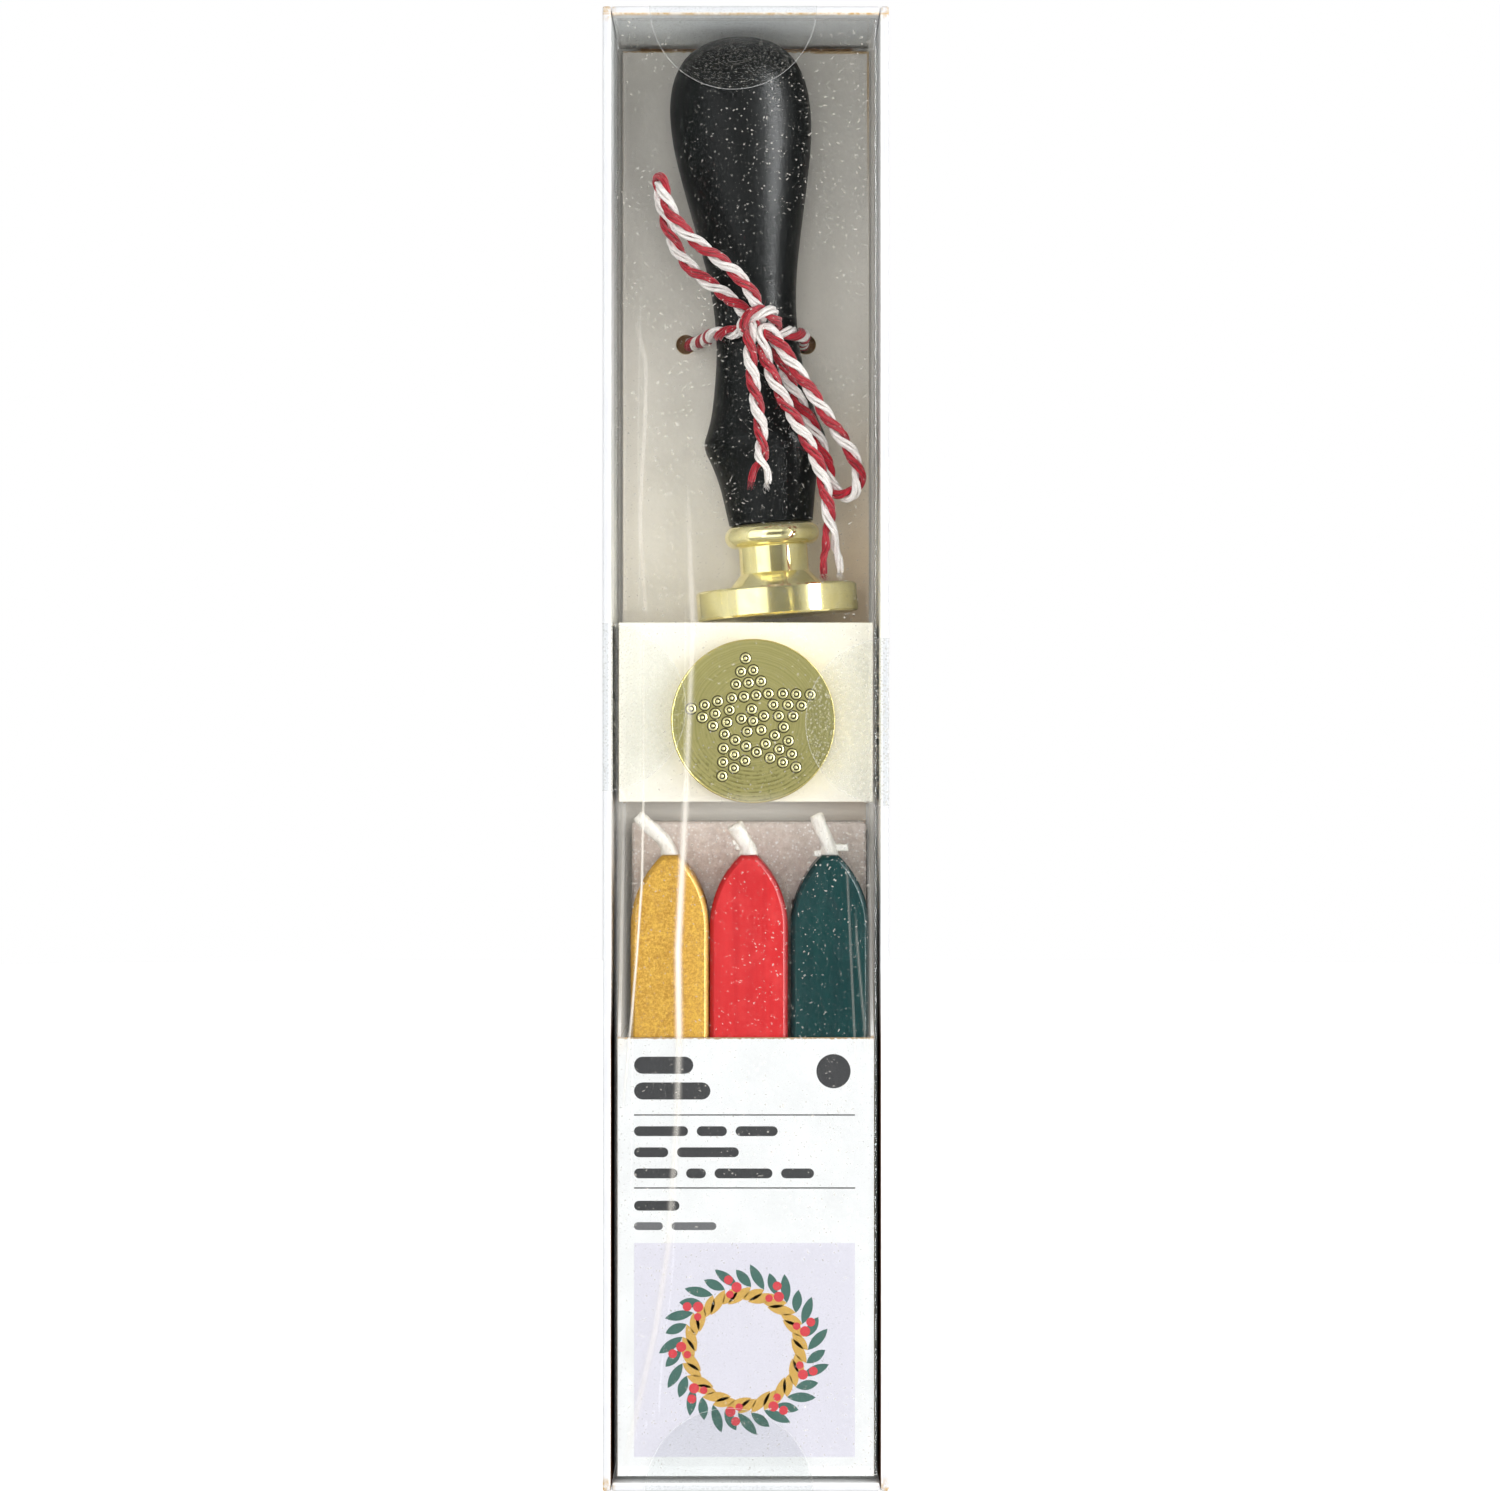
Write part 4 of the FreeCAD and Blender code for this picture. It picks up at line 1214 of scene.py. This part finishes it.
def die_outline(radius):
    """The die's turned outline from the middle of its face to the floor of its bore: (out, deep)."""
    cone_top = die_thickness + cone_height
    bead_low = cone_top + neck_height
    top = bead_low + bead_height
    half_bead = bead_height / 2
    outline = [(out, face_sunk) for out in (0.02, 4.0, 8.0, radius - die_edge)]
    outline += [(radius - 0.2, face_sunk - 0.02), (radius - 0.15, 0.06), (radius - 0.1, 0.06)]
    outline += [(radius - 0.03, 0.14), (radius, die_edge), (radius, die_thickness - die_edge)]
    outline += [(radius - die_edge, die_thickness), (cone_radius, die_thickness)]
    outline += [(neck_radius, cone_top), (neck_radius, bead_low)]
    for step in range(13):
        turn = math.pi * (step / 12 - 0.5)
        out = bead_radius - half_bead + half_bead * math.cos(turn)
        outline.append((out, bead_low + half_bead + half_bead * math.sin(turn)))
    outline += [(bore_radius, top), (bore_radius, top - bore_length), (0.02, top - bore_length)]
    return outline


def make_spare_die(faced, dull, bright):
    centre = spare_centre
    radius = (spare_high.x - spare_low.x) / 2 / mm
    build = Build()
    build.tube([flat_ring(centre.x, spare_low.y + deep * mm, centre.z, out * mm, die_segments)
                for out, deep in die_outline(radius)], 0)
    for across, up in star_places():
        add_dot(build, centre.x + across * mm, centre.z + up * mm, spare_low.y + face_sunk * mm)
    # dull carries the dots' painted shade, bright their painted highlight.
    die = build.piece("spare_die_turned", [faced, dull, bright])
    die.data.set_sharp_from_angle(angle=math.radians(50))
    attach(die, "spare")
    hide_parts("spare_die")


# Wicks: shares of their length across and up from the stick's point, as in the part's source, and how
# far they swell along it.
wick_length = 6.6
wick_diameter = 2.1
wick_sides = 22
wick_runs = {
    "gold": [(0, -0.1), (-0.02, 0.14), (-0.27, 0.46), (-0.76, 0.9)],
    "red": [(0, -0.1), (0, 0.1), (-0.14, 0.34), (-0.33, 0.7)],
    "green": [(0, -0.1), (0, 0.12), (-0.13, 0.46), (-0.32, 0.92)],
}
wick_swell = {
    "gold": [(0.0, 1.4), (0.16, 1.3), (0.34, 1.14), (0.7, 1.12), (0.94, 1.05), (1.0, 0.9)],
    "red": [(0.0, 1.6), (0.2, 1.5), (0.36, 1.26), (0.66, 1.2), (0.88, 1.38), (1.0, 1.2)],
    "green": [(0.0, 1.6), (0.2, 1.4), (0.32, 1.15), (0.66, 1.1), (0.9, 1.1), (1.0, 0.98)],
}

# Thin wax left at a wick's foot by the mould: across, up, width and height in millimetres.
wick_flash = {
    "red": [(-2.5, 1.4, 1.5, 0.8), (-2.1, 0.6, 1.6, 0.9)],
    "green": [(-2.5, -0.4, 2.0, 1.0), (0.6, 0.5, 2.2, 1.1)],
}
flash_depth = 0.8
flash_round = 0.22


def flash_wave(point):
    return noise.noise_vector(point * 1400) * 0.16 * mm


def share_of(table, value):
    for (low, first), (high, second) in zip(table, table[1:]):
        if value <= high:
            return first + (second - first) * (value - low) / (high - low)
    return table[-1][1]


def make_wick(colour, material):
    low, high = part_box("wax_stick_" + colour)
    foot = Vector(((low.x + high.x) / 2, (low.y + high.y) / 2, high.z))
    points = [foot + Vector((across, 0, up)) * wick_length * mm for across, up in wick_runs[colour]]
    line = smooth_line("wick_line", points)
    frames = frames_along(line)
    lengths = lengths_along(line)
    rings = []
    for i, point in enumerate(line):
        ahead, side, other = frames[i]
        share = lengths[i] / lengths[-1]
        swell = share_of(wick_swell[colour], share) * 0.46 * wick_diameter * mm
        ring = []
        for step in range(wick_sides):
            turn = math.tau * step / wick_sides
            across, up = math.cos(turn), math.sin(turn)
            groove = 0.05 * math.sin(3 * turn + share * 9)
            rough = noise.noise(Vector((across * 1.4, up * 1.4, share * 7 + low.x * 400)))
            radius = swell * (1 + groove + 0.12 * rough)
            ragged = ahead * (0.25 * mm * rough if i == len(line) - 1 else 0)
            ring.append(point + (side * across + other * up) * radius + ragged)
        rings.append(ring)
    build = Build()
    build.tube(rings, 0)
    for across, up, wide, tall in wick_flash.get(colour, ()):
        corner = foot + Vector((across, -flash_depth / 2, up)) * mm
        rounded_block(build, corner, corner + Vector((wide, flash_depth, tall)) * mm, flash_round * mm,
                      (0.3 * mm, 0.4 * mm, 0.3 * mm), plain, flash_wave)
    wick = build.piece("wick_" + colour + "_waxed", [material])
    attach(wick, colour + "_stick")
    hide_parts("wick_" + colour)


# The label's print, in millimetres: bars where words go, two rules, and a panel with a wreath of leaves
# and berries.
print_left = -16.95
print_right = 16.56
rule_heights = (57.06, 45.99)
rule_width = 0.2
title_rows = [(64.6, 2.6, [9.0]), (60.7, 2.6, [11.6])]
text_rows = [
    (54.6, 1.5, [8.2, 4.6, 6.4]),
    (51.4, 1.5, [5.2, 9.4]),
    (48.2, 1.5, [6.6, 3.0, 8.8, 5.0]),
    (43.3, 1.5, [6.9]),
]
light_rows = [(40.2, 1.2, [4.4, 6.8])]
word_gap = 1.3
badge = (13.3, 63.7, 2.6)
panel_low = 5.2
panel_high = 37.65
wreath_radius = 9.6
wreath_steps = 30
leaf_lean = 0.75
leaf_width = 1.5
long_leaf = 4.4
short_leaf = 3.5
berry_groups = 9
berry_radius = 0.78
print_film = 0.012
print_root = 0.05


def bar(x, z, width, height):
    """A bar with round ends, as an outline."""
    radius = height / 2
    outline = []
    for centre, start in ((x + width - radius, -90), (x + radius, 90)):
        for step in range(9):
            turn = math.radians(start + step * 22.5)
            outline.append((centre + radius * math.cos(turn), z + radius * math.sin(turn)))
    return outline


def box_outline(low, high):
    """A box as wide as the print, between two heights."""
    return [(print_left, low), (print_right, low), (print_right, high), (print_left, high)]


def disc(x, z, radius, count=40):
    return [(x + radius * across, z + radius * up) for across, up in circle(count)]


def leaf(x, z, angle, length, width):
    """A pointed leaf, as an outline."""
    outline = []
    for side in (1, -1):
        for step in range(8):
            share = step / 8 if side > 0 else 1 - step / 8
            along = share * length
            across = side * width * math.sin(math.pi * share) ** 0.8 / 2 if 0 < share < 1 else 0.0
            outline.append((x + along * math.cos(angle) - across * math.sin(angle),
                            z + along * math.sin(angle) + across * math.cos(angle)))
    return outline


def add_print(build, outline, mark, layer=1):
    scaled = [(x * mm, z * mm) for x, z in outline]
    build.slab(scaled, label_front + print_root * mm, label_front - layer * print_film * mm, mark)


def add_wreath(build):
    x_middle = (print_left + print_right) / 2
    z_middle = (panel_low + panel_high) / 2

    def on_wreath(turn, away=0.0):
        out = wreath_radius + away
        return x_middle + out * math.cos(turn), z_middle + out * math.sin(turn)

    for i in range(wreath_steps):
        turn = math.tau * i / wreath_steps
        for lean, mark, layer in ((leaf_lean, 3, 2), (-leaf_lean, 4, 3)):
            length = long_leaf if (i + (lean > 0)) % 2 else short_leaf
            outline = leaf(*on_wreath(turn), turn + math.pi / 2 - lean, length, leaf_width)
            add_print(build, outline, mark, layer)
    for i in range(berry_groups):
        turn = math.tau * i / berry_groups + 0.3
        for step, (away, swing) in enumerate(((0.0, 0.0), (1.3, 0.10), (-0.9, 0.13))):
            berry = disc(*on_wreath(turn + swing, away), berry_radius - 0.1 * step, 20)
            add_print(build, berry, 5, 4)


def make_label_print(inks):
    build = Build()
    for height in rule_heights:
        add_print(build, box_outline(height - rule_width / 2, height + rule_width / 2), 0)
    for rows, mark in ((title_rows + text_rows, 0), (light_rows, 1)):
        for height, size, words in rows:
            x = print_left
            for width in words:
                add_print(build, bar(x, height, width, size), mark)
                x += width + word_gap
    add_print(build, disc(*badge), 0)
    add_print(build, box_outline(panel_low, panel_high), 2)
    add_wreath(build)
    print_film_piece = build.piece("label_print", inks, smooth=False)
    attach(print_film_piece, "box")


# Finishes for the nodes that stay as they are

def dress(name, material):
    """Give a node its material."""
    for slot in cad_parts[name].material_slots:
        slot.material = material


# How strongly the glue speckles each seal.
seal_grain = {"seal_top": 0.03, "seal_bottom": 0.03, "seal_left": 0.1, "seal_right": 0.2}


def seal_centre(name):
    """The middle of a seal lies on the tray's front edge that it is folded over."""
    low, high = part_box(name)
    centre = Vector(((low.x + high.x) / 2, front, (low.z + high.z) / 2))
    if name == "seal_left":
        centre.x = tray_low.x
    elif name == "seal_right":
        centre.x = tray_high.x
    elif name == "seal_top":
        centre.z = tray_high.z
    else:
        centre.z = tray_low.z
    return centre


def dress_nodes():
    label_top = pocket_low.z + label_height * mm
    tie_holes = [(x * mm, tie_hole_height * mm, tie_hole_radius * mm)
                 for x in (-tie_hole_across, tie_hole_across)]
    dress("backing_card", insert_card("backing_card_white", (240, 233, 221), [backing_high.z], tie_holes,
                                      backing_high.z))
    dress("die_platform", insert_card("platform_card_cream", (247, 243, 231), []))
    dress("stick_pocket", insert_card("pocket_card_white", (229, 229, 229), [label_top, pocket_high.z]))
    dress("stamp_handle", black_wood())
    dress("handle_stud", steel())
    dress("stamp_die", polished_brass())
    for name, grain in seal_grain.items():
        low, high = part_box(name)
        radius = max(high.x - low.x, high.z - low.z) / 2
        dress(name, seal_film(name + "_film", seal_centre(name), radius, grain))


# Camera, floor and light

def place_camera():
    data = bpy.data.cameras.new("photo_camera")
    data.sensor_width = sensor_width
    data.lens = pixels_per_mm * camera_distance * sensor_width / photo_pixels
    data.clip_start = 0.01
    camera = linked("photo_camera", data)
    camera.location = spot(camera_across, -camera_distance, camera_height)
    camera.rotation_euler = (math.radians(90), 0, 0)
    scene.camera = camera


# The studio's softboxes: place, width and height in metres, power in watts, and whether each lights the
# object and whether it is mirrored in it.
softboxes = [
    ("right_softbox", (0.95, -0.55, 0.25), 0.28, 1.3, 4.4, True, True),
    ("upper_softbox", (0.0, -1.08, 0.62), 1.0, 0.45, 1.8, True, True),
    ("lower_softbox", (0.0, -1.08, -0.40), 1.0, 0.45, 2.2, True, True),
    ("front_fill", (-0.02, -0.9, 0.14), 0.3, 0.3, 2.3, True, False),
    ("left_fill", (-0.52, -0.85, 0.14), 0.3, 0.5, 1.2, True, False),
    ("right_fill", (0.52, -0.85, 0.14), 0.3, 0.5, 2.6, True, False),
    ("right_shine", (0.95, -0.58, 0.22), 0.4, 1.6, 56.0, False, True),
    ("left_shine", (-0.62, -0.85, 0.2), 0.9, 1.4, 5.0, False, True),
]

# The light from all round: how bright it is at the sides and at the ends, and where the dark part lies.
side_light = 0.95
end_light = 0.35
dark_light = 0.03
dark_side = math.radians(10)
floor_radius = 1.6
dome_radius = 5.0


def soft_light(name, place, width, height, power, lights, mirrored):
    """A studio softbox that looks at the middle of the box."""
    data = bpy.data.lights.new(name, "AREA")
    data.shape = "RECTANGLE"
    data.size = width
    data.size_y = height
    data.energy = power
    light = linked(name, data)
    light.location = place
    aim = Vector((0, 0, middle_height)) - Vector(place)
    light.rotation_euler = aim.to_track_quat("-Z", "Y").to_euler()
    light.visible_diffuse = lights
    light.visible_glossy = mirrored


def make_world():
    """Soft light from all round: bright at the sides, dimmer above and below, dark where the camera is."""
    world = bpy.data.worlds.new("studio")
    world.use_nodes = True
    sky = Nodes(world.node_tree)
    towards = sky.node("TexCoord").outputs["Generated"]
    camera_way = (math.sin(dark_side), -math.cos(dark_side), 0.0)
    near_camera = sky.vector("DOT_PRODUCT", towards, camera_way, output="Value")
    cone = sky.ranged(near_camera, 0.95, 0.8, dark_light, 1.0)
    band = sky.ranged(sky.size(sky.parts(towards)[2]), 0.3, 0.5, side_light, end_light)
    ground = sky.tree.nodes["Background"]
    ground.inputs["Color"].default_value = (1.0, 1.0, 1.0, 1.0)
    sky.tree.links.new(sky.times(cone, band), ground.inputs["Strength"])
    scene.world = world


def hide_from_light(shown_only):
    """Seen by the camera, but neither mirrored in the object nor lighting it."""
    shown_only.visible_diffuse = False
    shown_only.visible_glossy = False
    shown_only.visible_transmission = False
    shown_only.visible_shadow = False


def make_studio():
    build = Build()
    rim = disc(0, 0, floor_radius, 64)
    build.verts = [Vector((x, y, 0)) for x, y in rim]
    build.add_face(list(range(len(rim))), 0)
    floor = build.piece("studio_floor", [pale_floor()])
    hide_from_light(floor)
    make_world()
    for softbox in softboxes:
        soft_light(*softbox)


def make_backdrop():
    """A white dome that only the camera sees, so that every view has a plain white ground."""
    s = Shader("studio_backdrop")
    white = s.done(s.node("Emission", {"Color": (1, 1, 1, 1), "Strength": 1.0}).outputs[0])
    shaped = bmesh.new()
    bmesh.ops.create_uvsphere(shaped, u_segments=48, v_segments=24, radius=dome_radius)
    mesh = bpy.data.meshes.new("studio_backdrop")
    shaped.to_mesh(mesh)
    shaped.free()
    mesh.materials.append(white)
    dome = linked("studio_backdrop", mesh)
    hide_from_light(dome)


# Vector noise starts from the clock unless it is seeded.
noise.seed_set(noise_seed)
place_camera()
make_twine(yarn("yarn_red", (196, 24, 46), (120, 8, 24)),
           yarn("yarn_white", (250, 245, 240), (214, 204, 200)))
make_tray(white_board(), brown_board())
make_cover(clear_sheet())
make_foam(foam())
wick_finish = wick_wax()
for stick_colour, wax in (("gold", gold_wax()), ("red", red_wax()), ("green", green_wax())):
    make_stick(stick_colour, wax)
    make_wick(stick_colour, wick_finish)
# The dots' moats and dimples get painted shade, their rings and peaks a painted highlight.
make_spare_die(faced_brass(), struck_brass("brass_painted_shade", (46, 40, 16), 0.5),
               struck_brass("brass_rubbed_painted_highlight", (222, 214, 156), 0.4))
make_label_print([
    ink("ink_black", (34, 34, 36)), ink("ink_grey", (92, 92, 94)), ink("ink_lilac", (206, 203, 213)),
    ink("ink_green", (44, 88, 78)), ink("ink_gold", (192, 150, 62)), ink("ink_red", (196, 40, 52)),
])
dress_nodes()
make_studio()
make_backdrop()
scene.view_settings.view_transform = "Standard"
scene.cycles.max_bounces = 7
scene.cycles.diffuse_bounces = 4
scene.cycles.glossy_bounces = 3
scene.cycles.transparent_max_bounces = 16
